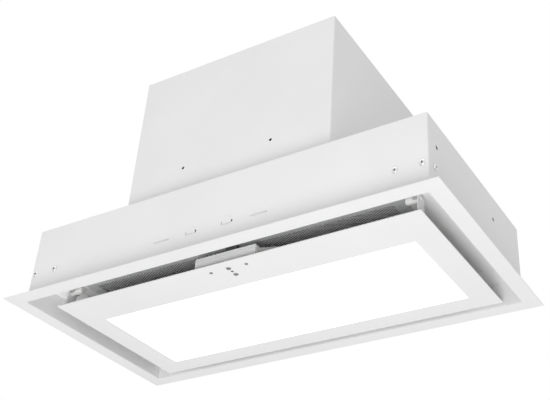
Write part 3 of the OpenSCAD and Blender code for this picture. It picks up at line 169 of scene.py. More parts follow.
def printed_board(name, mask, copper):
    """Glass-epoxy board under solder mask: pale tracks show through as lighter lines about 1 mm wide."""
    pitch = 2.54 * MM
    material, tree, shader, place = begin(name, {"IOR": 1.5})
    tracks = add(tree, "ShaderNodeTexBrick", {"Vector": place, "Scale": 1 / (4 * pitch), "Mortar Size": 0.09,
                                              "Mortar Smooth": 0.1, "Color1": linear(mask),
                                              "Color2": linear(mask), "Mortar": linear(copper)})
    spots = add(tree, "ShaderNodeTexNoise", {"Vector": place, "Scale": 1 / (6 * MM)})
    gloss = add(tree, "ShaderNodeMapRange", {"Value": spots.outputs[0], "To Min": 0.25, "To Max": 0.42})
    bump = add(tree, "ShaderNodeBump", {"Height": tracks.outputs[1], "Distance": 0.03 * MM, "Strength": 0.5})
    link_up(tree, shader, tracks, gloss, bump)
    return material


def closed_cell_foam(name, pale, deep):
    """Closed-cell foam: matt skin with pores about 0.8 mm across."""
    pore = 0.8 * MM
    material, tree, shader, place = begin(name, {"IOR": 1.4})
    pores = add(tree, "ShaderNodeTexVoronoi", {"Vector": place, "Scale": 1 / pore}).outputs["Distance"]
    tone = add(tree, "ShaderNodeValToRGB", {"Fac": pores}, [(0.1, deep), (0.6, pale)])
    gloss = add(tree, "ShaderNodeMapRange", {"Value": pores, "To Min": 0.95, "To Max": 0.8})
    bump = add(tree, "ShaderNodeBump", {"Height": pores, "Distance": 0.15 * MM, "Strength": 0.7})
    link_up(tree, shader, tone, gloss, bump)
    return material


def sintered_bronze(name, pale, deep):
    """Pressed and sintered bronze: dull metal with oil-filled pores, drawn 0.5 mm across to show."""
    pore = 0.5 * MM
    material, tree, shader, place = begin(name, {"Metallic": 1.0})
    pores = add(tree, "ShaderNodeTexVoronoi", {"Vector": place, "Scale": 1 / pore}).outputs["Distance"]
    tone = add(tree, "ShaderNodeValToRGB", {"Fac": pores}, [(0.05, deep), (0.45, pale)])
    gloss = add(tree, "ShaderNodeMapRange", {"Value": pores, "To Min": 0.6, "To Max": 0.4})
    link_up(tree, shader, tone, gloss)
    return material


def lit_opal(name, pale, deep, glow):
    """Opal acrylic lit from behind: it glows evenly, a trace weaker in soft patches between the diodes."""
    cloud = 60 * MM
    material, tree, shader, place = begin(name, {"IOR": 1.49, "Roughness": 0.35, "Emission Strength": glow})
    patches = add(tree, "ShaderNodeTexNoise", {"Vector": place, "Scale": 1 / cloud})
    tone = add(tree, "ShaderNodeValToRGB", {"Fac": patches.outputs[0]}, [(0.3, deep), (0.7, pale)])
    tree.links.new(tone.outputs[0], shader.inputs["Base Color"])
    tree.links.new(tone.outputs[0], shader.inputs["Emission Color"])
    return material


def clear_acrylic(name, tint, frost):
    """Cast acrylic plate: clear, with printed dots 1.5 mm apart that throw the light out."""
    pitch = 1.5 * MM
    material, tree, shader, place = begin(name, {"IOR": 1.49, "Transmission Weight": 0.9})
    dots = add(tree, "ShaderNodeTexVoronoi", {"Vector": place, "Scale": 1 / pitch,
                                              "Randomness": 0.0}).outputs["Distance"]
    tone = add(tree, "ShaderNodeValToRGB", {"Fac": dots}, [(0.25, frost), (0.35, tint)])
    gloss = add(tree, "ShaderNodeMapRange", {"Value": dots, "From Min": 0.25, "From Max": 0.35,
                                             "To Min": 0.5, "To Max": 0.05})
    link_up(tree, shader, tone, gloss)
    return material


# White sheet and its screws
paint_white = powder_coat("satin_white_powder_coat", "F2F2F2", "EEEEEE", 0.42)
panel_white = powder_coat("smooth_white_powder_coat", "F2F2F2", "EFEFEF", 0.36)
tray_paint = powder_coat("thin_white_primer", "DEDEDC", "D6D6D4", 0.5)
zinc_sheet = zinc_plate("zinc_plated_steel", "C6C7C8", "B2B4B5", 0.42)
spring_strip = rolled_metal("bright_spring_strip", "D6D7D8", "C2C4C5", 0.4, along=(40, 40, 1))
screw_zinc = rolled_metal("bright_zinc_screw", "E9E9EA", "D8D9DA", 0.42, along=(20, 20, 20), grain=0.8 * MM)
# The cross recess is painted dark: painted shade for the shadow inside it.
recess_painted_shade = rolled_metal("shaded_screw_recess", "6A6B6C", "4E4F50", 0.5, along=(20, 20, 20), grain=0.8 * MM)

# Blower, motor and duct
ground_steel = rolled_metal("ground_steel_rod", "BFC0C2", "A3A5A8", 0.26, along=(40, 6, 6))
grey_abs = moulded_plastic("grey_moulded_abs", "5A5C5E", "525456", 0.5)
dark_pp = moulded_plastic("dark_moulded_polypropylene", "3E4042", "37393B", 0.48)
foam_black = closed_cell_foam("black_closed_cell_foam", "2B2B2B", "161616")
motor_shell = rolled_metal("deep_drawn_motor_shell", "B4B6B8", "9C9EA1", 0.34, along=(1, 20, 20),
                           grain=0.5 * MM)
core_steel = packed_bands("stacked_core_sheets", "7C7E80", "595B5D", 1.0 * MM, 0.45)
# The coil's wire bands are painted darker between the wires: painted shade in the grooves.
enamelled_wire = packed_bands("enamelled_copper_wire", "B4652F", "7E3F1B", 0.7 * MM, 0.3)
cord_white = moulded_plastic("white_lacing_cord", "DAD8D0", "C8C5BB", 0.8, grit=0.3 * MM, depth=0.05 * MM)
bronze = sintered_bronze("sintered_bronze", "B08A56", "7C5E36")

# Electrical box and its board
box_plastic = moulded_plastic("light_grey_flame_retardant_plastic", "E0E0E0", "D8D8D8", 0.46)
board_green = printed_board("green_solder_mask_board", "1F5A38", "3D7C55")
case_white = moulded_plastic("white_polypropylene_case", "E6E6E2", "DEDEDA", 0.34)
nylon_black = moulded_plastic("black_nylon", "262626", "1E1E1E", 0.42)
relay_blue = moulded_plastic("blue_relay_case", "2F62A6", "2A5893", 0.36)
tape_yellow = moulded_plastic("yellow_winding_tape", "E2C23A", "D3B12E", 0.32, grit=1.0 * MM)
terminal_green = moulded_plastic("green_nylon_terminals", "2E8A57", "267A4B", 0.42)

# Filter
aluminium_sheet = dulled_aluminium("mill_finish_aluminium", "DCDDDE", "CFD0D1", 0.35)
mesh_metal = dulled_aluminium("expanded_aluminium_mesh", "F4F4F4", "E6E6E7", 0.1)
# The crimped aluminium layer is painted nearly black: painted shade for the dark inside of the filter behind
# the mesh.
filter_layer_painted_shade = rolled_metal("crimped_aluminium_layer_painted_shade", "2E2F30", "202122", 0.6, along=(20, 20, 20),
                           grain=1.2 * MM)
latch_plastic = moulded_plastic("dark_moulded_latch", "5C5E60", "525456", 0.5)

# Light and controls
opal_glow = lit_opal("lit_opal_acrylic", "FFFFFF", "FBFBFB", 1.1)
guide_acrylic = clear_acrylic("dotted_clear_acrylic", "F4FAFB", "FFFFFF")
strip_boards = moulded_plastic("white_masked_diode_board", "F0F0EE", "E8E8E5", 0.4, depth=0.004 * MM)
phosphor_gel = moulded_plastic("yellow_phosphor_gel", "E8CC66", "DDBC4C", 0.3, depth=0.01 * MM)
smoke_lens = moulded_plastic("smoked_acrylic_lens", "747476", "666668", 0.2, depth=0.004 * MM)
jacket_grey = moulded_plastic("soft_grey_jacket", "C8C8C6", "BDBDBB", 0.52)
nylon_white = moulded_plastic("white_turned_nylon", "F0F0EE", "E8E8E6", 0.4)
button_grey = moulded_plastic("grey_moulded_button", "8A8A8C", "7E7E80", 0.44)

finishes = {
    paint_white: "flange_frame front_wall back_wall left_wall right_wall canopy_top recess_ceiling "
                 "housing_shell housing_back housing_top filter_rails catch_brackets",
    zinc_sheet: "hinge_brackets hinge_leaves",
    spring_strip: "catch_clips",
    screw_zinc: "body_screws housing_screws scroll_screws",
    ground_steel: "flap_spindle motor_shaft hinge_pins",
    grey_abs: "duct_collar flap_front flap_back",
    dark_pp: "scroll_left scroll_right impeller_left impeller_right impeller_disc",
    foam_black: "outlet_gasket",
    motor_shell: "motor_mount motor_can motor_endcap",
    core_steel: "motor_rotor motor_stator",
    bronze: "motor_bearings",
    box_plastic: "junction_box junction_lid control_box",
    board_green: "power_board control_board",
    case_white: "run_capacitor",
    nylon_black: "cable_gland",
    aluminium_sheet: "filter_frame",
    mesh_metal: "filter_mesh",
    # The filter's crimped layer takes the nearly black painted shade.
    filter_layer_painted_shade: "filter_media",
    latch_plastic: "filter_latch",
    panel_white: "panel_face",
    opal_glow: "light_diffuser",
    guide_acrylic: "light_guide",
    strip_boards: "led_strips",
    tray_paint: "light_tray",
    smoke_lens: "indicator_lens",
    jacket_grey: "control_lead",
    nylon_white: "catch_pins",
    button_grey: "button_power button_light button_plus button_minus",
}
for material, names in finishes.items():
    for name in names.split():
        mesh = nodes[name].data
        mesh.materials.clear()
        mesh.materials.append(material)


# Shapes

def finish_piece(name, bm, body, slot, material, *replaced, crease=35):
    """Makes a mesh into a piece that rides on a body and stands for the nodes that it replaces."""
    bmesh.ops.remove_doubles(bm, verts=bm.verts, dist=0.001 * MM)
    bmesh.ops.recalc_face_normals(bm, faces=bm.faces)
    mesh = bpy.data.meshes.new(name)
    bm.to_mesh(mesh)
    bm.free()
    mesh.shade_smooth()
    mesh.set_sharp_from_angle(angle=math.radians(crease))
    mesh.materials.append(material)
    piece = bpy.data.objects.new(name, mesh)
    scene.collection.objects.link(piece)
    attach(piece, body)
    if replaced:
        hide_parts(*replaced)
    return piece


def put(bm, verts, at, axis=(0, 0, 1)):
    """Turns vertices from +Z to an axis and moves them to a place in millimetres."""
    turn = Vector(axis).to_track_quat("Z", "Y").to_matrix().to_4x4()
    bmesh.ops.transform(bm, matrix=Matrix.Translation(Vector(at) * MM) @ turn, verts=verts)


def block(bm, low, high, edge=0.0, segments=2):
    """A box between two corners in millimetres, its edges rounded by edge."""
    made = bmesh.ops.create_cube(bm, size=1.0)["verts"]
    bmesh.ops.scale(bm, verts=made, vec=[(h - l) * MM for l, h in zip(low, high)])
    bmesh.ops.translate(bm, verts=made, vec=[(h + l) / 2 * MM for l, h in zip(low, high)])
    edges = list({e for v in made for e in v.link_edges})
    if edge:
        bmesh.ops.bevel(bm, geom=edges, offset=edge * MM, offset_type="OFFSET", affect="EDGES",
                        segments=segments, profile=0.5, material=-1)


def turned(bm, outline, at=(0, 0, 0), axis=(0, 0, 1), steps=32, closed=False):
    """Spins an outline of (radius, height) pairs in millimetres, then puts it at a place along an axis."""
    before = set(bm.verts)
    verts = [bm.verts.new((r * MM, 0, h * MM)) for r, h in outline]
    pairs = list(zip(verts, verts[1:])) + ([(verts[-1], verts[0])] if closed else [])
    edges = [bm.edges.new(pair) for pair in pairs]
    bmesh.ops.spin(bm, geom=verts + edges, cent=(0, 0, 0), axis=(0, 0, 1), angle=2 * math.pi, steps=steps,
                   use_merge=True)
    put(bm, [v for v in bm.verts if v not in before], at, axis)


def bent_strip(bm, path, thick, x0, x1):
    """A strip that follows a path of (y, z) points in millimetres, as wide as from x0 to x1."""
    points = [Vector(p) for p in path]
    rows = []
    for i, p in enumerate(points):
        along = (points[min(i + 1, len(points) - 1)] - points[max(i - 1, 0)]).normalized()
        side = Vector((-along.y, along.x)) * thick / 2
        rows.append([bm.verts.new((x * MM, q.x * MM, q.y * MM))
                     for x, q in ((x0, p - side), (x1, p - side), (x1, p + side), (x0, p + side))])
    for a, b in zip(rows, rows[1:]):
        for k in range(4):
            bm.faces.new((a[k], a[(k + 1) % 4], b[(k + 1) % 4], b[k]))
    bm.faces.new(rows[0])
    bm.faces.new(rows[-1])


def pan_screw(length):
    """A pan-head screw with a cross recess, seated on z = 0."""
    bm = bmesh.new()
    top, rim_r = 1.4, 1.95
    wing, arm, recess_z, taper = 0.45, 1.6, 0.45, 0.62
    turned(bm, [(0, -length), (1.1, -length), (1.45, 0.7 - length), (1.45, 0), (3.4, 0), (3.58, 0.16),
                (3.55, 0.6), (3.25, 1.02), (2.7, 1.28), (rim_r, top)], steps=28)
    rim = [e for e in bm.edges if all(v.co.z > (top - 0.001) * MM for v in e.verts)]
    cross = [(arm, wing), (wing, wing), (wing, arm), (-wing, arm), (-wing, wing), (-arm, wing),
             (-arm, -wing), (-wing, -wing), (-wing, -arm), (wing, -arm), (wing, -wing), (arm, -wing)]
    upper = [bm.verts.new((x * MM, y * MM, top * MM)) for x, y in cross]
    lower = [bm.verts.new((x * taper * MM, y * taper * MM, recess_z * MM)) for x, y in cross]
    loop = [bm.edges.new((upper[i - 1], upper[i])) for i in range(len(cross))]
    bmesh.ops.triangle_fill(bm, use_beauty=True, use_dissolve=False, edges=rim + loop)
    recess = [bm.faces.new((upper[i - 1], upper[i], lower[i], lower[i - 1])) for i in range(len(cross))]
    # The recess faces take the second material, painted dark as shade.
    for face in recess + [bm.faces.new(lower)]:
        face.material_index = 1
    mesh = bpy.data.meshes.new("screw")
    bm.to_mesh(mesh)
    bm.free()
    return mesh


def screw_set(name, node, rows):
    """Screws on the hood in one piece, each row giving a length, a place and an axis."""
    bm = bmesh.new()
    shapes = {}
    for length, at, axis in rows:
        if length not in shapes:
            shapes[length] = pan_screw(length)
        before = set(bm.verts)
        bm.from_mesh(shapes[length])
        put(bm, [v for v in bm.verts if v not in before], at, axis)
    for shape in shapes.values():
        bpy.data.meshes.remove(shape)
    finish_piece(name, bm, "hood", "screw_steel", screw_zinc, node).data.materials.append(recess_painted_shade)


# Screws

# Lengths under the head, the faces that the heads seat on, and the places on these faces.
sheet_screw, outlet_screw, lug_screw, mount_screw = 5, 5.2, 8, 12
wall_x, wall_y, canopy_z, collar_z = 262, 127.5, 97.4, 298.2
lug_x, mount_x, outlet_z = 4, -67, 291.4
end_x, pair_pitch, front_z, side_y, side_z = 255.5, 30, 36, -111.8, 38
duct_y, collar_r, outlet_x, outlet_half = 25, 79.5, 62, 55
axle_y, axle_z, mount_half = -21, 196.6, 47.02
foot_places = ((100.8, 117), (144.5, 81))
collar_places = ((collar_r, duct_y), (-collar_r, duct_y), (0, duct_y - collar_r), (0, duct_y + collar_r))
lug_places = ((-80.64, 128.96), (52.3, 131.3), (-31, 281), (81, 281))
both = (-1, 1)

front_rows = [(sheet_screw, (s * (end_x - k * pair_pitch), -wall_y, front_z), (0, -1, 0))
              for s in both for k in (0, 1)]
back_rows = [(sheet_screw, (x, -y, z), (0, 1, 0)) for _, (x, y, z), _ in front_rows]
side_rows = [(sheet_screw, (s * wall_x, side_y, side_z), (s, 0, 0)) for s in both]
screw_set("canopy_screws", "body_screws", front_rows + back_rows + side_rows)

foot_rows = [(sheet_screw, (s * x, t * y, canopy_z), (0, 0, 1))
             for x, y in foot_places for s in both for t in both]
collar_rows = [(sheet_screw, (x, y, collar_z), (0, 0, 1)) for x, y in collar_places]
screw_set("housing_pan_screws", "housing_screws", foot_rows + collar_rows)

lug_rows = [(lug_screw, (lug_x, y, z), (1, 0, 0)) for y, z in lug_places]
mount_rows = [(mount_screw, (mount_x, axle_y + s * mount_half, axle_z + t * mount_half), (-1, 0, 0))
              for s in both for t in both]
outlet_rows = [(outlet_screw, (s * outlet_x, duct_y + t * outlet_half, outlet_z), (0, 0, -1))
               for s in both for t in both]
screw_set("blower_pan_screws", "scroll_screws", lug_rows + mount_rows + outlet_rows)


# Filter mesh

# The latch needs the room within this x and in front of this y.
latch_room_x, latch_room_y = 16.6, -66.2
mesh_z = 32.2


def in_latch_room(face, spare=0.0):
    """Says whether a face's middle lies in the room that the latch needs, or within spare of it."""
    middle = face.calc_center_median() / MM
    return abs(middle.x) < latch_room_x + spare and middle.y < latch_room_y + spare


def diamond_mesh(half_x, half_y, wide, high, strand, sheet):
    """Expanded metal: diamonds, wide by high in millimetres, cut to a rectangle and round the latch."""
    bm = bmesh.new()
    count = math.ceil(half_x / wide + half_y / high) * 2 + 2
    bmesh.ops.create_grid(bm, x_segments=count, y_segments=count, size=count / 2 * MM)
    bmesh.ops.rotate(bm, verts=bm.verts, cent=(0, 0, 0), matrix=Matrix.Rotation(math.pi / 4, 3, "Z"))
    bmesh.ops.scale(bm, verts=bm.verts, vec=(wide / math.sqrt(2), high / math.sqrt(2), 1))
    for normal, far in (((1, 0, 0), half_x), ((-1, 0, 0), half_x), ((0, 1, 0), half_y), ((0, -1, 0), half_y)):
        bmesh.ops.bisect_plane(bm, geom=bm.verts[:] + bm.edges[:] + bm.faces[:],
                               plane_co=Vector(normal) * far * MM, plane_no=normal, clear_outer=True)
    for normal, far in (((1, 0, 0), latch_room_x), ((-1, 0, 0), latch_room_x), ((0, 1, 0), latch_room_y)):
        near = [f for f in bm.faces if in_latch_room(f, wide / 2)]
        rims = list({e for f in near for e in f.edges}) + list({v for f in near for v in f.verts})
        bmesh.ops.bisect_plane(bm, geom=near + rims, plane_co=Vector(normal) * far * MM, plane_no=normal)
    bmesh.ops.delete(bm, geom=[f for f in bm.faces if in_latch_room(f)], context="FACES")
    # The cuts run a little past the room's corners, so what is left of them goes.
    spare_cuts = [e for e in bm.edges if len(e.link_faces) == 2
                  and min(abs(c) for c in (e.verts[0].co - e.verts[1].co).xy) < 0.001 * MM]
    bmesh.ops.dissolve_edges(bm, edges=spare_cuts, use_verts=True)
    bmesh.ops.wireframe(bm, faces=bm.faces, thickness=strand * MM, use_boundary=True, use_even_offset=True,
                        use_replace=True)
    bmesh.ops.scale(bm, verts=bm.verts, vec=(1, 1, sheet / strand))
    return bm


bm = diamond_mesh(half_x=203.5, half_y=81.5, wide=5.56, high=2.98, strand=0.85, sheet=0.43)
bmesh.ops.translate(bm, verts=bm.verts, vec=(0, 0, mesh_z * MM))
finish_piece("expanded_mesh", bm, "hood", "filter_mesh_metal", mesh_metal, "filter_mesh", crease=60)


# Filter latch

plate_x, plate_front, plate_back, plate_z, plate_t = 15, -95.1, -70, 32.2, 1.6
grip_x, grip_front, grip_t, grip_z, grip_h = 8, -84, 1.8, 25.5, 7.5
rib_x, rib_z, rib_h, rib_pitch, rib_stand = 6.5, 26.6, 0.8, 1.6, 0.4
bm = bmesh.new()
block(bm, (-plate_x, plate_front, plate_z), (plate_x, plate_back, plate_z + plate_t), edge=0.4)
block(bm, (-grip_x, grip_front, grip_z), (grip_x, grip_front + grip_t, grip_z + grip_h), edge=0.6)
for step in range(3):
    low_z = rib_z + step * rib_pitch
    block(bm, (-rib_x, grip_front - rib_stand, low_z),
          (rib_x, grip_front + rib_stand, low_z + rib_h), edge=0.2)
finish_piece("latch_slider", bm, "latch", "latch_plastic", latch_plastic, "filter_latch")


# Catch pins

# The pins stand in one row with the buttons.
row_y, pin_x, pin_z = -84.5, 232.6, 25.5
bm = bmesh.new()
for s in both:
    turned(bm, [(0, -2.4), (1.2, -2.4), (1.5, -2.1), (1.5, 0), (3.8, 0), (4, 0.2), (4, 12.9), (3.86, 14.1),
                (3.4, 15.2), (2.7, 15.8), (2.1, 16), (1.5, 15.8), (1.1, 15.3), (0, 15.1)],
           (s * pin_x, row_y, pin_z), (-s, 0, 0))
finish_piece("round_catch_pins", bm, "panel", "pin_white", nylon_white, "catch_pins")


# Spring clips

clip_x, clip_half, clip_t, bend, bend_z = 229.1, 2.5, 0.6, 1.3, 29.4
front_leg, back_leg = -90.1, -79.8
angles = (0.4, 0.8, 1.2, math.pi / 2)
path = [(-89.75, 22.6), (-89.55, 24.4), (-90.0, 26.6), (front_leg, bend_z)]
path += [(front_leg + bend - bend * math.cos(t), bend_z + bend * math.sin(t)) for t in angles]
path += [(back_leg - bend + bend * math.sin(t), bend_z + bend * math.cos(t)) for t in (0,) + angles]
path += [(-79.85, 26.6), (-80.1, 24.4), (-79.95, 22.6)]
bm = bmesh.new()
for s in both:
    bent_strip(bm, path, clip_t, s * clip_x - clip_half, s * clip_x + clip_half)
finish_piece("spring_clips", bm, "hood", "spring_steel", spring_strip, "catch_clips", crease=50)


# Buttons

panel_top = 3.3
button_x, minus_y, small_r, large_r = 23.5, -70, 1.8, 2.75


def button_cap(name, node, x, y, r):
    """A dished cap with a collar behind the panel and a stem to its switch."""
    rim, foot_z, stem_z, stem_r = r + 0.7, panel_top + 0.8, panel_top + 2, 0.9
    bm = bmesh.new()
    turned(bm, [(0, 1.4), (0.45 * r, 1.43), (0.75 * r, 1.54), (0.93 * r, 1.76), (r, 2.1), (r, panel_top),
                (rim, panel_top), (rim, foot_z), (stem_r, foot_z), (stem_r, stem_z), (0, stem_z)], (x, y, 0))
    finish_piece(name, bm, node, "button_grey", button_grey, node)


button_cap("cap_power", "button_power", -button_x, row_y, small_r)
button_cap("cap_light", "button_light", button_x, row_y, small_r)
button_cap("cap_plus", "button_plus", 0, row_y, large_r)
button_cap("cap_minus", "button_minus", 0, minus_y, large_r)


# Control box

box_x, box_front, box_back, box_top, wall_t = 40.5, -94, -64, 19.3, 0.8
foot_inner, foot_outer, foot_front, foot_t = 40.1, 46.5, -79, 0.8
rounding, field_inset, groove, groove_deep = 1.1, 1.0, 0.35, 0.4
bm = bmesh.new()
block(bm, (-box_x, box_front, panel_top), (box_x, box_back, box_top))
bmesh.ops.delete(bm, geom=[f for f in bm.faces if f.normal.z < -0.5], context="FACES")
bmesh.ops.bevel(bm, geom=[e for e in bm.edges if not e.is_boundary], offset=rounding * MM,
                offset_type="OFFSET", affect="EDGES", segments=3, profile=0.5, material=-1)
front_face = max((f for f in bm.faces if f.normal.y < -0.9), key=lambda f: f.calc_area())
bmesh.ops.inset_region(bm, faces=[front_face], thickness=field_inset * MM, depth=0)
bmesh.ops.inset_region(bm, faces=[front_face], thickness=groove * MM, depth=-groove_deep * MM)
box_cover = finish_piece("control_box_cover", bm, "panel", "box_plastic", box_plastic, "control_box",
                         crease=30)
wall = box_cover.modifiers.new("wall", "SOLIDIFY")
wall.thickness = wall_t * MM
wall.offset = -1
bm = bmesh.new()
for low_x, high_x in ((-foot_outer, -foot_inner), (foot_inner, foot_outer)):
    block(bm, (low_x, foot_front, panel_top), (high_x, box_back, panel_top + foot_t), edge=0.25)
finish_piece("control_box_feet", bm, "panel", "box_plastic", box_plastic, "control_box")


# Lead and its gland

lead_r, lead_y, lead_z = 2, -87.6, 12.1
start, end = Vector((48.5, lead_y, lead_z)) * MM, Vector((82.5, -53.2, 6.3)) * MM
lead = bpy.data.curves.new("round_lead", "CURVE")
lead.dimensions = "3D"
lead.bevel_depth = lead_r * MM
lead.bevel_resolution = 4
lead.resolution_u = 32
lead.use_fill_caps = True
spline = lead.splines.new("BEZIER")
spline.bezier_points.add(1)
for point, at, pull in zip(spline.bezier_points, (start, end), ((26, 0, 0), (0, 13, 0))):
    point.handle_left_type = point.handle_right_type = "FREE"
    point.co = at
    point.handle_left = at - Vector(pull) * MM
    point.handle_right = at + Vector(pull) * MM
lead.materials.append(jacket_grey)
round_lead = bpy.data.objects.new("round_lead", lead)
scene.collection.objects.link(round_lead)
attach(round_lead, "panel")
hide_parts("control_lead")

bm = bmesh.new()
outline = [(0, -1.6), (2.4, -1.6), (2.58, -1.4), (2.58, 0), (3.3, 0), (3.4, 0.2), (3.4, 2.2)]
for ring in range(4):
    ring_h, ring_r = ring * 1.5, 3.3 - ring * 0.1
    outline += [(2.75, ring_h + 2.4), (2.75, ring_h + 2.9), (ring_r, ring_h + 3.1), (ring_r, ring_h + 3.7)]
outline += [(2.7, 8.5), (2.3, 9), (0, 9)]
turned(bm, outline, (box_x, lead_y, lead_z), (1, 0, 0), steps=28)
lead_gland = finish_piece("ribbed_lead_gland", bm, "panel", "lead_grey", jacket_grey, "control_lead")


# Mains gland

inlet = (-204, 112.7, 113.6)
bm = bmesh.new()
turned(bm, [(4.6, -6), (6, -6), (6, 0), (5, 0), (5, 8), (7, 8), (7, 9.6), (6.7, 10.7), (6, 11.6), (5.2, 12),
            (4.6, 11.8)], inlet, (0, 1, 0), steps=36, closed=True)
turned(bm, [(5.8, 0), (7.7, 0), (8, 0.3), (8, 7.6), (7.6, 8), (5.8, 8)], inlet, (0, 1, 0), steps=6,
       closed=True)
finish_piece("hex_cable_gland", bm, "hood", "gland_black", nylon_black, "cable_gland")


# Diodes

diodes, strip_x, strip_depths, strip_z = 24, 208.4, (0, 1.4), (4.9, 10.9)
case_x, case_depths, case_z = 1.5, (1.2, 2.0), (5.5, 7.9)
face_x, face_depths, face_z = 1.15, (1.8, 2.15), (5.8, 7.6)


def inward_block(bm, tray_y, inward, depths, x, half_x, heights, edge):
    """A box on the tray's wall, between two depths from the wall and two heights."""
    low_y, high_y = sorted(tray_y + inward * depth for depth in depths)
    low_z, high_z = heights
    block(bm, (x - half_x, low_y, low_z), (x + half_x, high_y, high_z), edge, segments=1)


boards, faces = bmesh.new(), bmesh.new()
for tray_y, inward in ((-52.8, 1), (102.2, -1)):
    inward_block(boards, tray_y, inward, strip_depths, 0, strip_x, strip_z, edge=0.1)
    for i in range(diodes):
        x = (i - (diodes - 1) / 2) * 2 * strip_x / diodes
        inward_block(boards, tray_y, inward, case_depths, x, case_x, case_z, edge=0.15)
        inward_block(faces, tray_y, inward, face_depths, x, face_x, face_z, edge=0.15)
finish_piece("diode_boards", boards, "panel", "strip_white", strip_boards, "led_strips")
finish_piece("diode_faces", faces, "panel", None, phosphor_gel, "led_strips")


# Motor

core_x, core_long, slots, facets = -50.5, 20, 12, 72
bore, rim_r, slot_r, slot_half = 23.5, 36.48, 31.5, 1.7
coil_long, laces, lace_half, lace_low, lace_high, lace_inset = 5, 24, 0.5, 25.3, 33.1, 0.1


def on_circle(radius, turns):
    """The point on a circle that lies some turns from its first point."""
    return Vector((math.cos(2 * math.pi * turns), math.sin(2 * math.pi * turns))) * radius


corners = ((bore, -slot_half), (slot_r, -slot_half), (slot_r, slot_half), (bore, slot_half))
notch = [Vector(corner) for corner in corners]
notch += [on_circle(bore, share / slots) for share in (0.25, 0.5, 0.75)]
inner = [Matrix.Rotation(2 * math.pi * k / slots, 2) @ p for k in range(slots) for p in notch]
outer = [on_circle(rim_r, i / facets) for i in range(facets)]
bm = bmesh.new()
edges = []
for loop in (inner, outer):
    verts = [bm.verts.new((core_x * MM, (axle_y + p.x) * MM, (axle_z + p.y) * MM)) for p in loop]
    edges += [bm.edges.new((verts[i - 1], verts[i])) for i in range(len(verts))]
cap = bmesh.ops.triangle_fill(bm, use_beauty=True, use_dissolve=False, edges=edges)["geom"]
grown = bmesh.ops.extrude_face_region(bm, geom=[f for f in cap if isinstance(f, bmesh.types.BMFace)],
                                      use_keep_orig=True)["geom"]
bmesh.ops.translate(bm, verts=[v for v in grown if isinstance(v, bmesh.types.BMVert)],
                    vec=(core_long * MM, 0, 0))
finish_piece("slotted_core", bm, "hood", "core_steel", core_steel, "motor_stator")

coils, cords = bmesh.new(), bmesh.new()
for x in (core_x - coil_long, core_x + core_long):
    turned(coils, [(25.6, 1.3), (26.6, 0.4), (31.8, 0.4), (32.8, 1.3), (32.8, 3.9), (31.8, 4.7), (26.6, 4.7),
                   (25.6, 3.9)], (x, axle_y, axle_z), (1, 0, 0), steps=48, closed=True)
    for k in range(laces):
        before = set(cords.verts)
        block(cords, (lace_inset, -lace_half, lace_low), (coil_long - lace_inset, lace_half, lace_high),
              edge=0.3, segments=1)
        made = [v for v in cords.verts if v not in before]
        bmesh.ops.rotate(cords, verts=made, cent=(0, 0, 0),
                         matrix=Matrix.Rotation(2 * math.pi * (k + 0.5) / laces, 3, "X"))
        bmesh.ops.translate(cords, verts=made, vec=(x * MM, axle_y * MM, axle_z * MM))
finish_piece("copper_coils", coils, "hood", None, enamelled_wire, "motor_stator")
finish_piece("coil_lacing", cords, "hood", None, cord_white, "motor_stator")


# Power board

board_left, board_right, board_front, board_back, board_top, board_t = -243, -203, 39.7, 103.7, 104.2, 1.6
margin, gap, ways = 4, 0.2, 5
left, right, front = board_left + margin, board_right - margin, board_front + margin
terminals = [left + (right - left) / (ways + 1) * (i + 1) for i in range(ways)]
terminal_y, rail_half, rail_top = 87.7, 5.33, 114.6
tag_x, tag_y, tag_low, tag_top = 2.2, 5.2, 105.2, 115.2
relay_right, relay_back, relay_top = -224, 70.7, 118.2
iron_left, iron_front, iron_back, iron_top = -222, 46.7, 67.7, 124.2
winding_left, winding_right, winding_low, winding_top = -220.5, -208.5, 105.4, 121.4


def board_part(name, slot, material, boxes, segments=2):
    """Boxes on the power board in one piece, each with its low corner, its high corner and its edge."""
    bm = bmesh.new()
    for low, high, edge in boxes:
        block(bm, low, high, edge, segments)
    finish_piece(name, bm, "hood", slot, material, "power_board")


board_part("fibreglass_board", "board_green", board_green,
           [((board_left, board_front, board_top - board_t), (board_right, board_back, board_top), 0.15)],
           segments=1)
board_part("wire_terminals", None, terminal_green,
           [((left, terminal_y - rail_half, board_top), (right, terminal_y + rail_half, rail_top), 0.4)]
           + [((x - tag_x, terminal_y - tag_y, tag_low), (x + tag_x, terminal_y + tag_y, tag_top), 0.3)
              for x in terminals])
bm = bmesh.new()
for x in terminals:
    turned(bm, [(0, -1), (1.3, -1), (1.3, 0), (0, 0)], (x, terminal_y, tag_top), steps=16)
finish_piece("terminal_screws", bm, "hood", None, screw_zinc, "power_board")
board_part("relay_case", None, relay_blue,
           [((left, front, board_top), (relay_right, relay_back, relay_top), 0.8)], segments=3)
board_part("transformer_core", "core_steel", core_steel,
           [((iron_left, iron_front, board_top), (right, iron_back, iron_top), 0.3)])
board_part("transformer_winding", None, tape_yellow,
           [((winding_left, low, winding_low), (winding_right, high, winding_top), 1.0)
            for low, high in ((front, iron_front - gap), (iron_back + gap, relay_back))], segments=3)


# Camera

# The hood is seen from below, in front of it and to its right.
tilt, roll, turn = 123.492498, -1.978431, 29.765650
camera = bpy.data.objects.new("camera", bpy.data.cameras.new("camera"))
scene.collection.objects.link(camera)
scene.camera = camera
camera.location = (0.5736, -0.83365, -0.51475)
camera.rotation_euler = [math.radians(angle) for angle in (tilt, roll, turn)]
camera.data.sensor_width = 36
camera.data.lens = 63.4
camera.data.shift_x = -0.0939
camera.data.shift_y = -0.0097
camera.data.clip_start = 0.01


# Lamps

hood_middle = Vector((0, 0, 0.1))


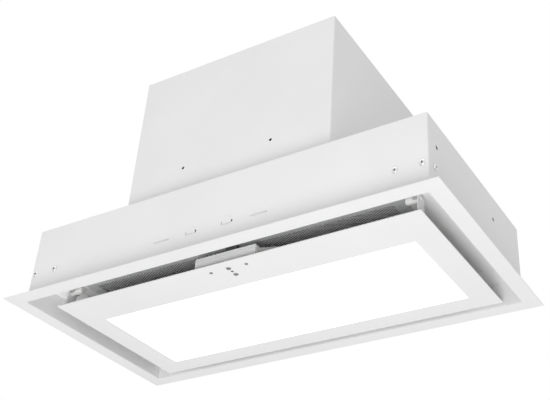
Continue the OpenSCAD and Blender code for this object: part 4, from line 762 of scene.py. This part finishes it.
def softbox(name, place, size, power):
    """A square area lamp that faces the hood."""
    lamp = bpy.data.lights.new(name, "AREA")
    lamp.shape = "SQUARE"
    lamp.size = size
    lamp.energy = power
    stand = bpy.data.objects.new(name, lamp)
    scene.collection.objects.link(stand)
    stand.location = place
    aim = hood_middle - Vector(place)
    stand.rotation_euler = aim.to_track_quat("-Z", "Y").to_euler()


softbox("front_softbox", place=(0.56, -1.46, -1.70), size=1.2, power=31)
softbox("side_softbox", place=(2.4, -0.4, -0.95), size=1.0, power=2.3)
softbox("top_softbox", place=(-0.3, -0.4, 2.4), size=1.6, power=16)


# World

# It is white to the camera and in mirrors and glass, and dimmer where it lights the hood.
world = bpy.data.worlds.new("studio")
scene.world = world
world.use_nodes = True
studio = world.node_tree
studio.nodes.clear()
rays = add(studio, "ShaderNodeLightPath").outputs
seen = rays["Is Camera Ray"]
for kind in ("Is Glossy Ray", "Is Transmission Ray"):
    seen = add(studio, "ShaderNodeMath", {0: seen, 1: rays[kind]}, operation="MAXIMUM").outputs[0]
strength = add(studio, "ShaderNodeMapRange", {"Value": seen, "To Min": 0.57, "To Max": 1.0})
sky = add(studio, "ShaderNodeBackground", {"Color": (1, 1, 1, 1), "Strength": strength.outputs[0]})
add(studio, "ShaderNodeOutputWorld", {"Surface": sky.outputs[0]})


# Floor

floor_half, floor_z = 14, -2.6
bm = bmesh.new()
bmesh.ops.create_grid(bm, x_segments=1, y_segments=1, size=floor_half)
bmesh.ops.translate(bm, verts=bm.verts, vec=(0, 0, floor_z))
floor_mesh = bpy.data.meshes.new("floor")
bm.to_mesh(floor_mesh)
bm.free()
floor = bpy.data.objects.new("floor", floor_mesh)
scene.collection.objects.link(floor)
floor_paint, tree, shader, place = begin("matt_white_floor", {"Roughness": 0.9})
dust = add(tree, "ShaderNodeTexNoise", {"Vector": place, "Scale": 2.0})
tone = add(tree, "ShaderNodeValToRGB", {"Fac": dust.outputs[0]}, [(0.3, "F0F0F0"), (0.7, "F4F4F4")])
tree.links.new(tone.outputs[0], shader.inputs["Base Color"])
floor_mesh.materials.append(floor_paint)
